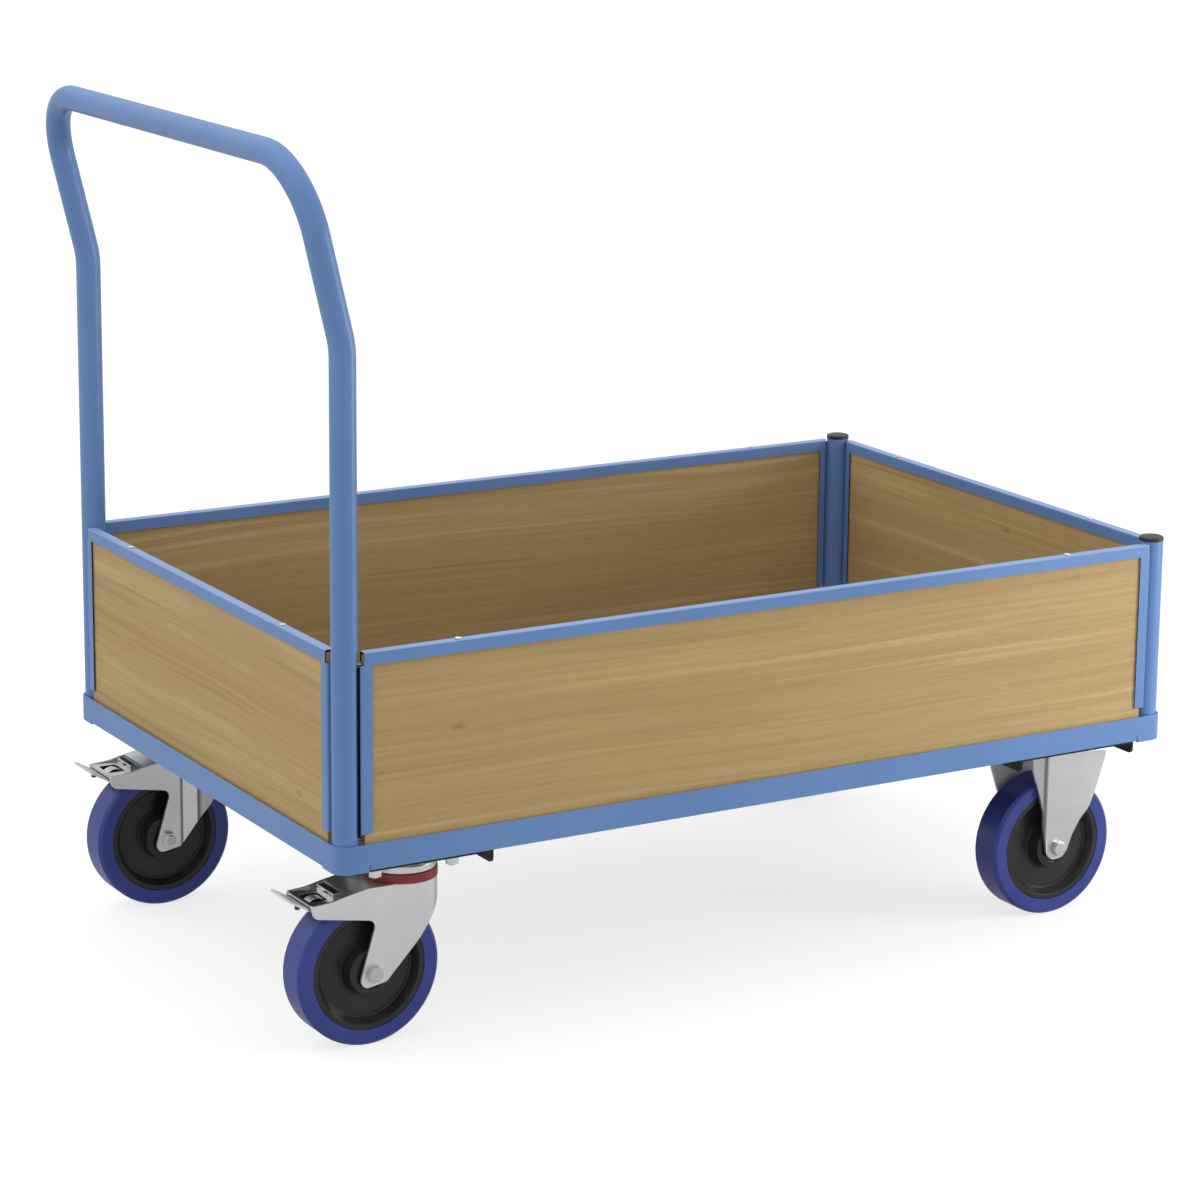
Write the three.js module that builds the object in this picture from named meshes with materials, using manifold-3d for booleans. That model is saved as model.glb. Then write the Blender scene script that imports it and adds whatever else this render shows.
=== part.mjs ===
// A four-wheeled box trolley: a tubular push handle and two corner posts stand in a pressed steel frame,
// four low timber walls in steel channels close the load deck, and the frame rides on two braked swivel
// castors at the handle end and two fixed castors at the other end.
// Millimetres, +Z up. X runs from the handle end (-X) to the far end (+X), Y across the trolley.
// The origin is on the floor, under the middle of the whole trolley.
import * as THREE from "three";
import { mergeVertices } from "three/addons/utils/BufferGeometryUtils.js";
import Module from "manifold-3d";

const wasm = await Module();
wasm.setup();

// ---- Driving dimensions -------------------------------------------------------------------------

const GAP = 0.3; // between pieces that touch
const FAR = 2000; // longer than the whole trolley, for cutting tools

const POST_X = 499.3; // half spacing of the four corner tubes
const POST_Y = 312.4;
const TUBE_R = 13.4;
const TUBE_BORE_R = 11.4;

const FRAME_Z = 206.7;
const FRAME_HIGH = 27;
const FRAME_OUT = 16.1; // from a corner tube's axis to the frame's outer face
const FRAME_SHEET = 2;
const FRAME_FLANGE = 22;
const CORNER_DROP = 2; // how far the corner cups hang below the straight sides
const CORNER_REACH = 20;

const DECK_THICK = 13.5;
const WALL_TOP = 430;
const WALL_OUT = 13.6; // from a corner tube's axis to a wall's outer face
const WALL_END = 11.2; // from a corner tube's axis to a wall's end
const TRIM_THICK = 11.4;
const TRIM_SHEET = 0.8;
const TOP_RAIL_HIGH = 13;
const SHORT_AT_HANDLE = 4; // from a side rail's outer side to the top rail's open end, beside the handle
const SHORT_AT_POST = 1; // the same beside a corner post
const SIDE_RAIL_WIDE = 13;
const SIDE_RAIL_BOTTOM = 244;
const PANEL_INSET = 4.7; // from the end of the trim to the end of the panel's slot
const PANEL_DOWN = 2.5; // from the top of the trim to the top of the panel's slot
const CUT_BACK_FROM = 4.5; // how far behind its outer face a trim starts to give way to the round tube
const CUT_BACK_DEEP = 5;

const POST_TOP = 432;
const CAP_TOP = 436.5;
const CAP_R = 13.7;
const CAP_PLUG = 9;

const HANDLE_BEND_Z = 734;
const HANDLE_TOP_Z = 917; // axis of the grip bar
const HANDLE_LEAN = 44.7; // how far the grip bar stands behind the legs
const HANDLE_BEND_R = 95;
const HANDLE_CORNER_R = 75;

const BEAM_TOP = FRAME_Z - GAP;
const BEAM_SHEET = 3;
const BEAM_WEB_Z = 195;
const BEAM_LIP_Z = 191.2; // lower edge of the lips round the web
const BEAM_LIP_SHEET = 2;
const BEAM_FLANGE_Z = 179.5; // lower edge of the deep flanges
const BEAM_HALF_LENGTH = 291.5;
const BEAM_CORNER_R = 5;
const SWIVEL_BEAM_X = [-463, -320];
const FIXED_BEAM_X = [346, 503];

const CASTOR_Y = 254;
const SWIVEL_X = -407;
const FIXED_X = 407.5;
const TRAIL = 46.6; // from the swivel axis back to the axle
const WHEEL_R = 80;
const TYRE_SEGMENTS = 48;
const RIM_SEGMENTS = 32;
const CHEEK_OUT = 30; // from the wheel's middle plane to a cheek's outer face
const CHEEK_SHEET = 3;
const AXLE_R = 6;
const BOLT_HEAD_R = 8.7;
const BOLT_HEAD_THICK = 5.5;
const PLATE_TOP = BEAM_WEB_Z - GAP;

// ---- Colours ------------------------------------------------------------------------------------

function finish(color, roughness, metalness) {
  return new THREE.MeshStandardMaterial({ color, roughness, metalness });
}
const BLUE_PAINT = finish(0x6f96cf, 0.5, 0.1);
const BEECH = finish(0xc3a472, 0.6, 0);
const DECK_BROWN = finish(0x6d5136, 0.7, 0);
const BEAM_BLACK = finish(0x34363a, 0.6, 0.3);
const ZINC = finish(0xbfc1c3, 0.35, 0.9);
const RED_SEAL = finish(0x8e4a4c, 0.6, 0);
const BLUE_RUBBER = finish(0x3c4a9c, 0.7, 0);
const RIM_BLACK = finish(0x2e2e30, 0.5, 0);
const CAP_BLACK = finish(0x26272a, 0.5, 0);
const SHOE_BLACK = finish(0x1d1d22, 0.8, 0);

// ---- Solids -------------------------------------------------------------------------------------

function solid(geometry) {
  const bare = geometry.clone();
  bare.deleteAttribute("normal");
  bare.deleteAttribute("uv");
  const merged = mergeVertices(bare, 1e-4);
  const vertProperties = merged.attributes.position.array;
  const triVerts = new Uint32Array(merged.index.array);
  return new wasm.Manifold(new wasm.Mesh({ numProp: 3, vertProperties, triVerts }));
}

function surface(body) {
  const mesh = body.getMesh();
  const geometry = new THREE.BufferGeometry();
  geometry.setAttribute("position", new THREE.BufferAttribute(new Float32Array(mesh.vertProperties), 3));
  geometry.setIndex(new THREE.BufferAttribute(new Uint32Array(mesh.triVerts), 1));
  geometry.computeVertexNormals();
  return geometry;
}

const join = (...bodies) => bodies.reduce((sum, body) => sum.add(body));
const cut = (body, ...tools) => tools.reduce((rest, tool) => rest.subtract(tool), body);

// An outline from corners [x, y] or [x, y, radius]: a corner with a radius becomes an arc.
function outline(corners, stepAngle = Math.PI / 10) {
  const points = [];
  corners.forEach(([x, y, radius = 0], i) => {
    const here = new THREE.Vector2(x, y);
    if (!radius) {
      points.push(here);
      return;
    }
    const before = corners[(i + corners.length - 1) % corners.length];
    const after = corners[(i + 1) % corners.length];
    const back = new THREE.Vector2(before[0] - x, before[1] - y).normalize();
    const ahead = new THREE.Vector2(after[0] - x, after[1] - y).normalize();
    const half = Math.acos(THREE.MathUtils.clamp(back.dot(ahead), -1, 1)) / 2;
    const middle = back.clone().add(ahead).normalize();
    const centre = here.clone().addScaledVector(middle, radius / Math.sin(half));
    const start = here.clone().addScaledVector(back, radius / Math.tan(half)).sub(centre);
    const turn = (Math.PI - 2 * half) * Math.sign(ahead.cross(back) || 1);
    const steps = Math.max(1, Math.round(Math.abs(turn) / stepAngle));
    for (let k = 0; k <= steps; k++) {
      const spoke = start.clone().rotateAround(new THREE.Vector2(), (turn * k) / steps);
      points.push(centre.clone().add(spoke));
    }
  });
  return new THREE.Shape(points);
}

function straight(shape, depth) {
  return new THREE.ExtrudeGeometry(shape, { depth, bevelEnabled: false, steps: 1 });
}

// An (x, y) outline between two heights, an (x, z) outline between two y's, a (y, z) one between two x's.
const upright = (shape, low, high) => solid(straight(shape, high - low).translate(0, 0, low));
function across(shape, low, high) {
  return solid(straight(shape, high - low).rotateX(Math.PI / 2).translate(0, high, 0));
}
const TURN_TO_X = new THREE.Matrix4().makeBasis(
  new THREE.Vector3(0, 1, 0),
  new THREE.Vector3(0, 0, 1),
  new THREE.Vector3(1, 0, 0),
);
const lengthwise = (shape, low, high) =>
  solid(straight(shape, high - low).applyMatrix4(TURN_TO_X).translate(low, 0, 0));

function block([x0, x1], [y0, y1], [z0, z1]) {
  const box = new THREE.BoxGeometry(x1 - x0, y1 - y0, z1 - z0);
  return solid(box.translate((x0 + x1) / 2, (y0 + y1) / 2, (z0 + z1) / 2));
}

const rod = (radius, low, high, sides) =>
  new THREE.CylinderGeometry(radius, radius, high - low, sides).translate(0, (low + high) / 2, 0);
const rodUp = (radius, low, high, x = 0, y = 0, sides = 16) =>
  solid(rod(radius, low, high, sides).rotateX(Math.PI / 2).translate(x, y, 0));
const rodAcross = (radius, low, high, x = 0, z = 0, sides = 16) =>
  solid(rod(radius, low, high, sides).translate(x, 0, z));

// A turned piece about Z, from [radius, height] points listed up its outside and down its inside.
function turned(profile, segments) {
  const points = profile.map(([radius, height]) => new THREE.Vector2(radius, height));
  return new THREE.LatheGeometry(points, segments).rotateX(Math.PI / 2);
}

function piece(name, geometry, material) {
  const mesh = new THREE.Mesh(geometry, material);
  mesh.name = name;
  return mesh;
}

const roundedRectangle = (halfX, halfY, radius) =>
  outline([
    [-halfX, -halfY, radius],
    [halfX, -halfY, radius],
    [halfX, halfY, radius],
    [-halfX, halfY, radius],
  ]);

// ---- Frame and deck -----------------------------------------------------------------------------

function frameRing(inset, hole, low, high) {
  const outer = FRAME_OUT - inset;
  const inner = FRAME_OUT - hole;
  const shape = roundedRectangle(POST_X + outer, POST_Y + outer, outer);
  shape.holes.push(roundedRectangle(POST_X + inner, POST_Y + inner, Math.max(inner, 1)));
  return upright(shape, low, high);
}

function platformFrame() {
  const bottom = FRAME_Z - CORNER_DROP;
  const wall = frameRing(0, FRAME_SHEET, bottom, FRAME_Z + FRAME_HIGH);
  const flange = frameRing(FRAME_SHEET / 2, FRAME_FLANGE, bottom, FRAME_Z + FRAME_SHEET);
  const sideX = POST_X - CORNER_REACH;
  const sideY = POST_Y - CORNER_REACH;
  const underSides = join(
    block([-sideX, sideX], [-FAR, FAR], [0, FRAME_Z]),
    block([-FAR, FAR], [-sideY, sideY], [0, FRAME_Z]),
  );
  return surface(cut(join(wall, flange), underSides));
}

const DECK_BOTTOM = FRAME_Z + FRAME_SHEET + GAP;
const DECK_TOP = DECK_BOTTOM + DECK_THICK;

function deckBoard() {
  const edge = FRAME_OUT - FRAME_SHEET - GAP;
  const board = upright(roundedRectangle(POST_X + edge, POST_Y + edge, edge), DECK_BOTTOM, DECK_TOP);
  const clear = TUBE_R + 0.6;
  const beyond = 2 * FRAME_OUT;
  const notch = outline([
    [-clear, -clear, clear - 1],
    [beyond, -clear],
    [beyond, beyond],
    [-clear, beyond],
  ]);
  const tools = [0, 1, 2, 3].map((quarter) => {
    const right = quarter === 0 || quarter === 3 ? 1 : -1;
    const back = quarter < 2 ? 1 : -1;
    const turnedNotch = straight(notch, 2 * DECK_THICK)
      .rotateZ((quarter * Math.PI) / 2)
      .translate(right * POST_X, back * POST_Y, DECK_BOTTOM - DECK_THICK / 2);
    return solid(turnedNotch);
  });
  return surface(cut(board, ...tools));
}

// A cross beam: a web inside a shallow rim. Along the chosen long edges the rim is a deep flange with
// rounded lower corners.
function crossBeam([x0, x1], deepAt) {
  const length = [-BEAM_HALF_LENGTH, BEAM_HALF_LENGTH];
  const rim = block([x0, x1], length, [BEAM_LIP_Z, BEAM_TOP]);
  const inside = [length[0] + BEAM_LIP_SHEET, length[1] - BEAM_LIP_SHEET];
  const width = [x0 + BEAM_SHEET, x1 - BEAM_SHEET];
  const below = block(width, inside, [0, BEAM_WEB_Z]);
  const above = block(width, inside, [BEAM_WEB_Z + BEAM_SHEET, FAR]);
  const flange = outline([
    [length[0], BEAM_FLANGE_Z, BEAM_CORNER_R],
    [length[1], BEAM_FLANGE_Z, BEAM_CORNER_R],
    [length[1], BEAM_TOP],
    [length[0], BEAM_TOP],
  ]);
  const flanges = deepAt.map((x) => {
    return lengthwise(flange, Math.max(x0, x - BEAM_SHEET), Math.min(x1, x + BEAM_SHEET));
  });
  return surface(join(cut(rim, below, above), ...flanges));
}

// ---- Tubes --------------------------------------------------------------------------------------

// The axis of a bent tube through corner points, with an arc of the given radius at each inner corner.
// Its stations stand at the ends and along the arcs only, because the rest is straight.
class BentAxis extends THREE.Curve {
  constructor(corners, stepAngle) {
    super();
    const first = corners[0].at;
    const last = corners[corners.length - 1].at;
    this.stations = [{ point: first, tangent: corners[1].at.clone().sub(first).normalize() }];
    for (let i = 1; i < corners.length - 1; i++) {
      const { at, radius } = corners[i];
      const arriving = at.clone().sub(corners[i - 1].at).normalize();
      const leaving = corners[i + 1].at.clone().sub(at).normalize();
      const turn = arriving.angleTo(leaving);
      const axis = arriving.clone().cross(leaving).normalize();
      const start = at.clone().addScaledVector(arriving, -radius * Math.tan(turn / 2));
      const spoke = axis.clone().cross(arriving).multiplyScalar(-radius);
      const centre = start.clone().sub(spoke);
      const steps = Math.max(2, Math.round(turn / stepAngle));
      for (let k = 0; k <= steps; k++) {
        const angle = (turn * k) / steps;
        this.stations.push({
          point: centre.clone().add(spoke.clone().applyAxisAngle(axis, angle)),
          tangent: arriving.clone().applyAxisAngle(axis, angle),
        });
      }
    }
    const approach = corners[corners.length - 2].at;
    this.stations.push({ point: last, tangent: last.clone().sub(approach).normalize() });
  }
  get steps() {
    return this.stations.length - 1;
  }
  station(u) {
    return this.stations[Math.round(u * this.steps)];
  }
  getPoint(t) {
    return this.station(t).point.clone();
  }
  getPointAt(u) {
    return this.getPoint(u);
  }
  getTangentAt(u) {
    return this.station(u).tangent.clone();
  }
}

function pipeSection(sides) {
  const ring = (radius) =>
    Array.from({ length: sides }, (_, i) => {
      const angle = (2 * Math.PI * i) / sides;
      return new THREE.Vector2(radius * Math.cos(angle), radius * Math.sin(angle));
    });
  const section = new THREE.Shape(ring(TUBE_R));
  section.holes.push(new THREE.Path(ring(TUBE_BORE_R)));
  return section;
}

function pushHandle() {
  const barX = -POST_X - HANDLE_LEAN;
  const side = (sign) => [
    { at: new THREE.Vector3(-POST_X, sign * POST_Y, DECK_BOTTOM) },
    { at: new THREE.Vector3(-POST_X, sign * POST_Y, HANDLE_BEND_Z), radius: HANDLE_BEND_R },
    { at: new THREE.Vector3(barX, sign * POST_Y, HANDLE_TOP_Z), radius: HANDLE_CORNER_R },
  ];
  const axis = new BentAxis([...side(-1), ...side(1).reverse()], Math.PI / 14);
  const options = { extrudePath: axis, steps: axis.steps, bevelEnabled: false };
  return new THREE.ExtrudeGeometry(pipeSection(16), options);
}

function cornerPost() {
  return turned(
    [
      [TUBE_BORE_R, DECK_BOTTOM],
      [TUBE_R, DECK_BOTTOM],
      [TUBE_R, POST_TOP],
      [TUBE_BORE_R, POST_TOP],
      [TUBE_BORE_R, DECK_BOTTOM],
    ],
    24,
  );
}

function postCap() {
  const plugR = TUBE_BORE_R - GAP;
  const brim = POST_TOP + GAP;
  const soft = 1;
  return turned(
    [
      [0, brim - CAP_PLUG],
      [plugR, brim - CAP_PLUG],
      [plugR, brim],
      [CAP_R, brim],
      [CAP_R, CAP_TOP - soft],
      [CAP_R - soft, CAP_TOP],
      [0, CAP_TOP],
    ],
    24,
  );
}

// ---- Walls --------------------------------------------------------------------------------------

// A wall stands along local X on the line between two corner tubes (y = 0), its outer face towards -Y.
// The trim is a channel over the panel's top and ends; each end is cut back where it meets the round tube.
const SCREW_R = 1.8;
const SCREW_HEAD_R = 3.3;
const SCREW_HEAD_HIGH = 1.9;
const SCREW_LONG = 14;
const screwHole = (x) => rodUp(SCREW_R + GAP, WALL_TOP - SCREW_LONG - 1, WALL_TOP + 1, x, WALL_MIDDLE, 8);
const WALL_MIDDLE = -WALL_OUT + TRIM_THICK / 2;

function wallTrim(halfSpan, screwX, besideHandle) {
  const end = halfSpan - WALL_END;
  const inner = end - SIDE_RAIL_WIDE;
  const [leftShort, rightShort] = besideHandle.map((beside) => (beside ? SHORT_AT_HANDLE : SHORT_AT_POST));
  const [leftEnd, rightEnd] = [-end + leftShort, end - rightShort];
  const underRail = WALL_TOP - TOP_RAIL_HIGH;
  const face = outline([
    [-end, SIDE_RAIL_BOTTOM],
    [-inner, SIDE_RAIL_BOTTOM],
    [-inner, underRail],
    [inner, underRail],
    [inner, SIDE_RAIL_BOTTOM],
    [end, SIDE_RAIL_BOTTOM],
    [end, underRail],
    [rightEnd, underRail],
    [rightEnd, WALL_TOP],
    [leftEnd, WALL_TOP],
    [leftEnd, underRail],
    [-end, underRail],
  ]);
  const body = across(face, -WALL_OUT, -WALL_OUT + TRIM_THICK);
  const front = -WALL_OUT + CUT_BACK_FROM;
  const slope = (TRIM_THICK + 1 - CUT_BACK_FROM) / (TRIM_THICK - CUT_BACK_FROM);
  const cutBack = (sign) => {
    const wedge = outline([
      [sign * end, front],
      [sign * (end - CUT_BACK_DEEP * slope), -WALL_OUT + TRIM_THICK + 1],
      [sign * FAR, -WALL_OUT + TRIM_THICK + 1],
      [sign * FAR, front],
    ]);
    return upright(wedge, 0, FAR);
  };
  const sheet = TRIM_SHEET;
  const hollow = [-WALL_OUT + sheet, -WALL_OUT + TRIM_THICK - sheet];
  const slot = block([-end + PANEL_INSET, end - PANEL_INSET], hollow, [0, WALL_TOP - PANEL_DOWN]);
  const openEnds = block([-end, end], hollow, [underRail, WALL_TOP - PANEL_DOWN]);
  const screwHoles = [screwHole(-screwX), screwHole(screwX)];
  return surface(cut(body, cutBack(-1), cutBack(1), slot, openEnds, ...screwHoles));
}

function wallPanel(halfSpan, screwX) {
  const end = halfSpan - WALL_END - PANEL_INSET - GAP;
  const inset = TRIM_SHEET + GAP;
  const board = block(
    [-end, end],
    [-WALL_OUT + inset, -WALL_OUT + TRIM_THICK - inset],
    [DECK_TOP + GAP, WALL_TOP - PANEL_DOWN - GAP],
  );
  return surface(cut(board, screwHole(-screwX), screwHole(screwX)));
}

function wallScrew() {
  const seat = WALL_TOP + GAP;
  const head = seat + SCREW_HEAD_HIGH;
  return turned(
    [
      [0, WALL_TOP - SCREW_LONG],
      [SCREW_R, WALL_TOP - SCREW_LONG],
      [SCREW_R, seat],
      [SCREW_HEAD_R, seat],
      [SCREW_HEAD_R, seat + SCREW_HEAD_HIGH / 2],
      [SCREW_HEAD_R * 0.6, head],
      [0, head],
    ],
    8,
  );
}

function wall(name, halfSpan, screwX, besideHandle) {
  const group = new THREE.Group();
  group.add(piece(name + "_panel", wallPanel(halfSpan, screwX), BEECH));
  group.add(piece(name + "_trim", wallTrim(halfSpan, screwX, besideHandle), BLUE_PAINT));
  ["a", "b"].forEach((letter, i) => {
    const screw = piece(name + "_screw_" + letter, wallScrew(), ZINC);
    screw.position.set(i ? screwX : -screwX, WALL_MIDDLE, 0);
    group.add(screw);
  });
  return group;
}

// ---- Wheels -------------------------------------------------------------------------------------

// Wheels turn about the Y axis. The tyre's flats touch the radius WHEEL_R, and one of them faces down.
const TYRE_BORE_R = 63;
const TYRE_HALF_WIDE = 20;
const TREAD_HALF_WIDE = 16.5;
const RIM_FACE = 19.5;
const RIM_FLOOR = 9.5;
const RIM_R = TYRE_BORE_R - GAP;
const HUB_CLEAR = 2; // from the hub to the inside of a cheek

function wheelSurface(profile, segments) {
  const points = profile.map(([radius, offset]) => new THREE.Vector2(radius, offset));
  return new THREE.LatheGeometry(points, segments, Math.PI / segments);
}

function tyre() {
  const out = (radius) => radius / Math.cos(Math.PI / TYRE_SEGMENTS);
  return wheelSurface(
    [
      [TYRE_BORE_R + 0.5, -TYRE_HALF_WIDE],
      [out(WHEEL_R - 3.5), -TYRE_HALF_WIDE],
      [out(WHEEL_R), -TREAD_HALF_WIDE],
      [out(WHEEL_R), TREAD_HALF_WIDE],
      [out(WHEEL_R - 3.5), TYRE_HALF_WIDE],
      [TYRE_BORE_R + 0.5, TYRE_HALF_WIDE],
      [TYRE_BORE_R + 0.5, -TYRE_HALF_WIDE],
    ],
    TYRE_SEGMENTS,
  );
}

function rim() {
  const hubFace = CHEEK_OUT - CHEEK_SHEET - HUB_CLEAR;
  const bore = AXLE_R + GAP;
  const half = [
    [bore, hubFace],
    [23.5, hubFace],
    [27.5, RIM_FLOOR],
    [50, RIM_FLOOR],
    [57.5, RIM_FACE],
    [RIM_R, RIM_FACE],
  ];
  const mirrored = half.map(([radius, offset]) => [radius, -offset]);
  return wheelSurface([...mirrored, ...half.reverse(), mirrored[0]], RIM_SEGMENTS);
}

function axleBolt() {
  const seat = -CHEEK_OUT - GAP;
  const shank = rodAcross(AXLE_R, seat - 1, CHEEK_OUT + BOLT_HEAD_THICK + 2);
  return surface(join(shank, rodAcross(BOLT_HEAD_R, seat - BOLT_HEAD_THICK, seat, 0, 0, 6)));
}

function axleNut() {
  const seat = CHEEK_OUT + GAP;
  const hexagon = rodAcross(BOLT_HEAD_R, seat, seat + BOLT_HEAD_THICK, 0, 0, 6);
  return surface(cut(hexagon, rodAcross(AXLE_R + GAP, 0, FAR)));
}

function wheel(name) {
  const group = new THREE.Group();
  group.add(piece(name + "_tyre", tyre(), BLUE_RUBBER));
  group.add(piece(name + "_rim", rim(), RIM_BLACK));
  group.add(piece(name + "_axle_bolt", axleBolt(), ZINC));
  group.add(piece(name + "_axle_nut", axleNut(), ZINC));
  group.position.z = WHEEL_R;
  return group;
}

// ---- Swivel castor ------------------------------------------------------------------------------

// In the castor's own frame the swivel axis is Z, the wheel trails towards -X and the bolt head is at -Y.
const CROWN_TOP = 171.2;
const CROWN_SHEET = 3.2;
const CROWN_FRONT = 33.7;
const CROWN_FRONT_R = 20; // the bend between the outer cheek and the crown's front
const CROWN_INNER_R = 16;
const CROWN_DROP_X = -52.5; // behind this the crown slopes down to the brake arms
const CROWN_BACK = -74; // where the crown's top plate stops and the brake begins
const ARM_END = -116.5;
const ARM_TOP = 161.8;
const ARM_BOTTOM = 136;
const INNER_CHEEK_OUT = 25.5; // the inner cheek is pressed in towards the wheel at its front
const PRESSING_X = [-30, -7]; // where that pressing's ramp starts and ends
const FORK_TIP_R = 8;
const KING_R = 8;
const BRAKE_PIN = { x: -70, z: 161.3, radius: 2 };

function swivelFork() {
  const plan = (sheet) => {
    const y = CHEEK_OUT - sheet;
    const pressed = INNER_CHEEK_OUT - sheet;
    const front = CROWN_FRONT - sheet;
    return outline([
      [-FAR, -y],
      [front, -y, CROWN_FRONT_R - sheet],
      [front, pressed, CROWN_INNER_R - sheet],
      [PRESSING_X[1], pressed],
      [PRESSING_X[0], y],
      [-FAR, y],
    ]);
  };
  const side = outline([
    [CROWN_FRONT + 1, CROWN_TOP],
    [CROWN_DROP_X, CROWN_TOP],
    [-77, 167],
    [-95, 163],
    [ARM_END, ARM_TOP, 2],
    [ARM_END + 3.5, 148.3, 7],
    [-43, ARM_BOTTOM, 8],
    [-TRAIL - 15, WHEEL_R - 6, FORK_TIP_R],
    [-TRAIL - 11.4, WHEEL_R - 15.4, FORK_TIP_R],
    [-TRAIL + 14.6, WHEEL_R - 10.5, FORK_TIP_R],
    [6.4, 110, 30],
    [16, 124, 30],
    [CROWN_FRONT + 1, 152],
  ]);
  const body = upright(plan(0), 0, FAR).intersect(across(side, -CHEEK_OUT - 1, CHEEK_OUT + 1));
  const under = CROWN_TOP - CROWN_SHEET;
  const hollow = outline([
    [FAR, 0],
    [FAR, under],
    [CROWN_DROP_X, under],
    [CROWN_BACK, 164],
    [CROWN_BACK, FAR],
    [-FAR, FAR],
    [-FAR, 0],
  ]);
  const inside = upright(plan(CHEEK_SHEET), 0, FAR).intersect(across(hollow, -CHEEK_OUT, CHEEK_OUT));
  return surface(
    cut(
      body,
      inside,
      rodAcross(AXLE_R + GAP, -FAR, FAR, -TRAIL, WHEEL_R),
      rodAcross(BRAKE_PIN.radius + GAP, -FAR, FAR, BRAKE_PIN.x, BRAKE_PIN.z),
      rodUp(KING_R + GAP, 0, FAR),
    ),
  );
}

// The bolted top plate with the fixed upper bearing race under it.
const RACE_R = 36;
const RACE_RIM = 7; // height of the race's upright edge
const SEAL_R = 37.5;
const SEAL_BORE_R = 22;
const SEAL_Z = [CROWN_TOP + GAP, 181];
const KING_HEAD_R = 13;
const KING_HEAD_THICK = 7;
const PLATE_THICK = 4;
const PLATE_HALF_X = 52;
const PLATE_HALF_Y = 35;
const PLATE_CORNER_R = 8;

function swivelTopPlate() {
  const under = PLATE_TOP - PLATE_THICK;
  const plate = upright(roundedRectangle(PLATE_HALF_X, PLATE_HALF_Y, PLATE_CORNER_R), under, PLATE_TOP);
  const low = SEAL_Z[1] + GAP;
  const race = turned(
    [
      [0, low],
      [RACE_R - 1, low],
      [RACE_R, low + 1],
      [RACE_R, low + RACE_RIM],
      [RACE_R - 4, under + 1],
      [0, under + 1],
    ],
    24,
  );
  const bore = rodUp(KING_R + GAP, 0, FAR);
  return surface(cut(join(plate, solid(race)), bore));
}

function sealRing() {
  const [low, high] = SEAL_Z;
  return turned(
    [
      [SEAL_BORE_R, low],
      [SEAL_R - 1, low],
      [SEAL_R, low + 1],
      [SEAL_R, high - 1],
      [SEAL_R - 1, high],
      [SEAL_BORE_R, high],
      [SEAL_BORE_R, low],
    ],
    24,
  );
}

function kingBolt() {
  const headTop = CROWN_TOP - CROWN_SHEET - GAP;
  const shank = rodUp(KING_R, headTop - 1, PLATE_TOP - 1);
  return surface(join(shank, rodUp(KING_HEAD_R, headTop - KING_HEAD_THICK, headTop, 0, 0, 6)));
}

// The brake lever runs under the brake plate from its pivot pin to the foot pedal that sticks out behind.
const LEVER_HALF_WIDE = 24;
const LEVER_SHEET = 2.4;
const LEVER_BOSS_R = 3.2;
const PEDAL_TIP = [-137, 168.7];
const PEDAL_ROOT = [-112.5, 155];
const BRAKE_PLATE_Z = [159, ARM_TOP];
const BRAKE_PLATE_FRONT = -76.5;
const SLOT_X = [-110.5, -90.5];
const SLOT_Y = [-15, 13];
const CLAMP_X = [-87, -77.5];
const CLAMP_HALF_WIDE = 18.5;
const CLAMP_TOP = 168;
const SHOE_X = [-101, -91];
const SHOE_HALF_WIDE = 15;
const SHOE_TOP = 153.5;
const SHOE_CLEAR = 6; // from the released shoe to the tread

function brakePlate() {
  const halfWide = CHEEK_OUT - CHEEK_SHEET - GAP;
  const plate = upright(
    outline([
      [ARM_END + 1, -halfWide, 2],
      [BRAKE_PLATE_FRONT, -halfWide],
      [BRAKE_PLATE_FRONT, halfWide],
      [ARM_END + 1, halfWide, 2],
    ]),
    ...BRAKE_PLATE_Z,
  );
  const slot = block(SLOT_X, SLOT_Y, [0, FAR]);
  const clamp = block(CLAMP_X, [-CLAMP_HALF_WIDE, CLAMP_HALF_WIDE], [BRAKE_PLATE_Z[0] + 1, CLAMP_TOP]);
  return surface(join(cut(plate, slot), clamp));
}

function brakePedal() {
  const half = LEVER_SHEET / 2;
  const rise = Math.atan2(PEDAL_TIP[1] - PEDAL_ROOT[1], PEDAL_ROOT[0] - PEDAL_TIP[0]);
  const off = [half * Math.sin(rise), half * Math.cos(rise)];
  const bendX = half * Math.tan(rise / 2);
  const arm = outline([
    [PEDAL_TIP[0] + off[0], PEDAL_TIP[1] + off[1]],
    [PEDAL_TIP[0] - off[0], PEDAL_TIP[1] - off[1]],
    [PEDAL_ROOT[0] - bendX, PEDAL_ROOT[1] - half],
    [-93, 154.4],
    [-77, 156.3],
    [BRAKE_PIN.x, 159],
    [BRAKE_PIN.x, 162.5],
    [-77.5, 158],
    [-93, 156.8],
    [PEDAL_ROOT[0] + bendX, PEDAL_ROOT[1] + half],
  ]);
  const boss = rodAcross(LEVER_BOSS_R, -LEVER_HALF_WIDE, LEVER_HALF_WIDE, BRAKE_PIN.x, BRAKE_PIN.z);
  const bore = rodAcross(BRAKE_PIN.radius + GAP, -FAR, FAR, BRAKE_PIN.x, BRAKE_PIN.z, 12);
  return surface(cut(join(across(arm, -LEVER_HALF_WIDE, LEVER_HALF_WIDE), boss), bore));
}

function brakeShoe() {
  const shoe = block(SHOE_X, [-SHOE_HALF_WIDE, SHOE_HALF_WIDE], [WHEEL_R, SHOE_TOP]);
  return surface(cut(shoe, rodAcross(WHEEL_R + SHOE_CLEAR, -FAR, FAR, -TRAIL, WHEEL_R, 96)));
}

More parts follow.
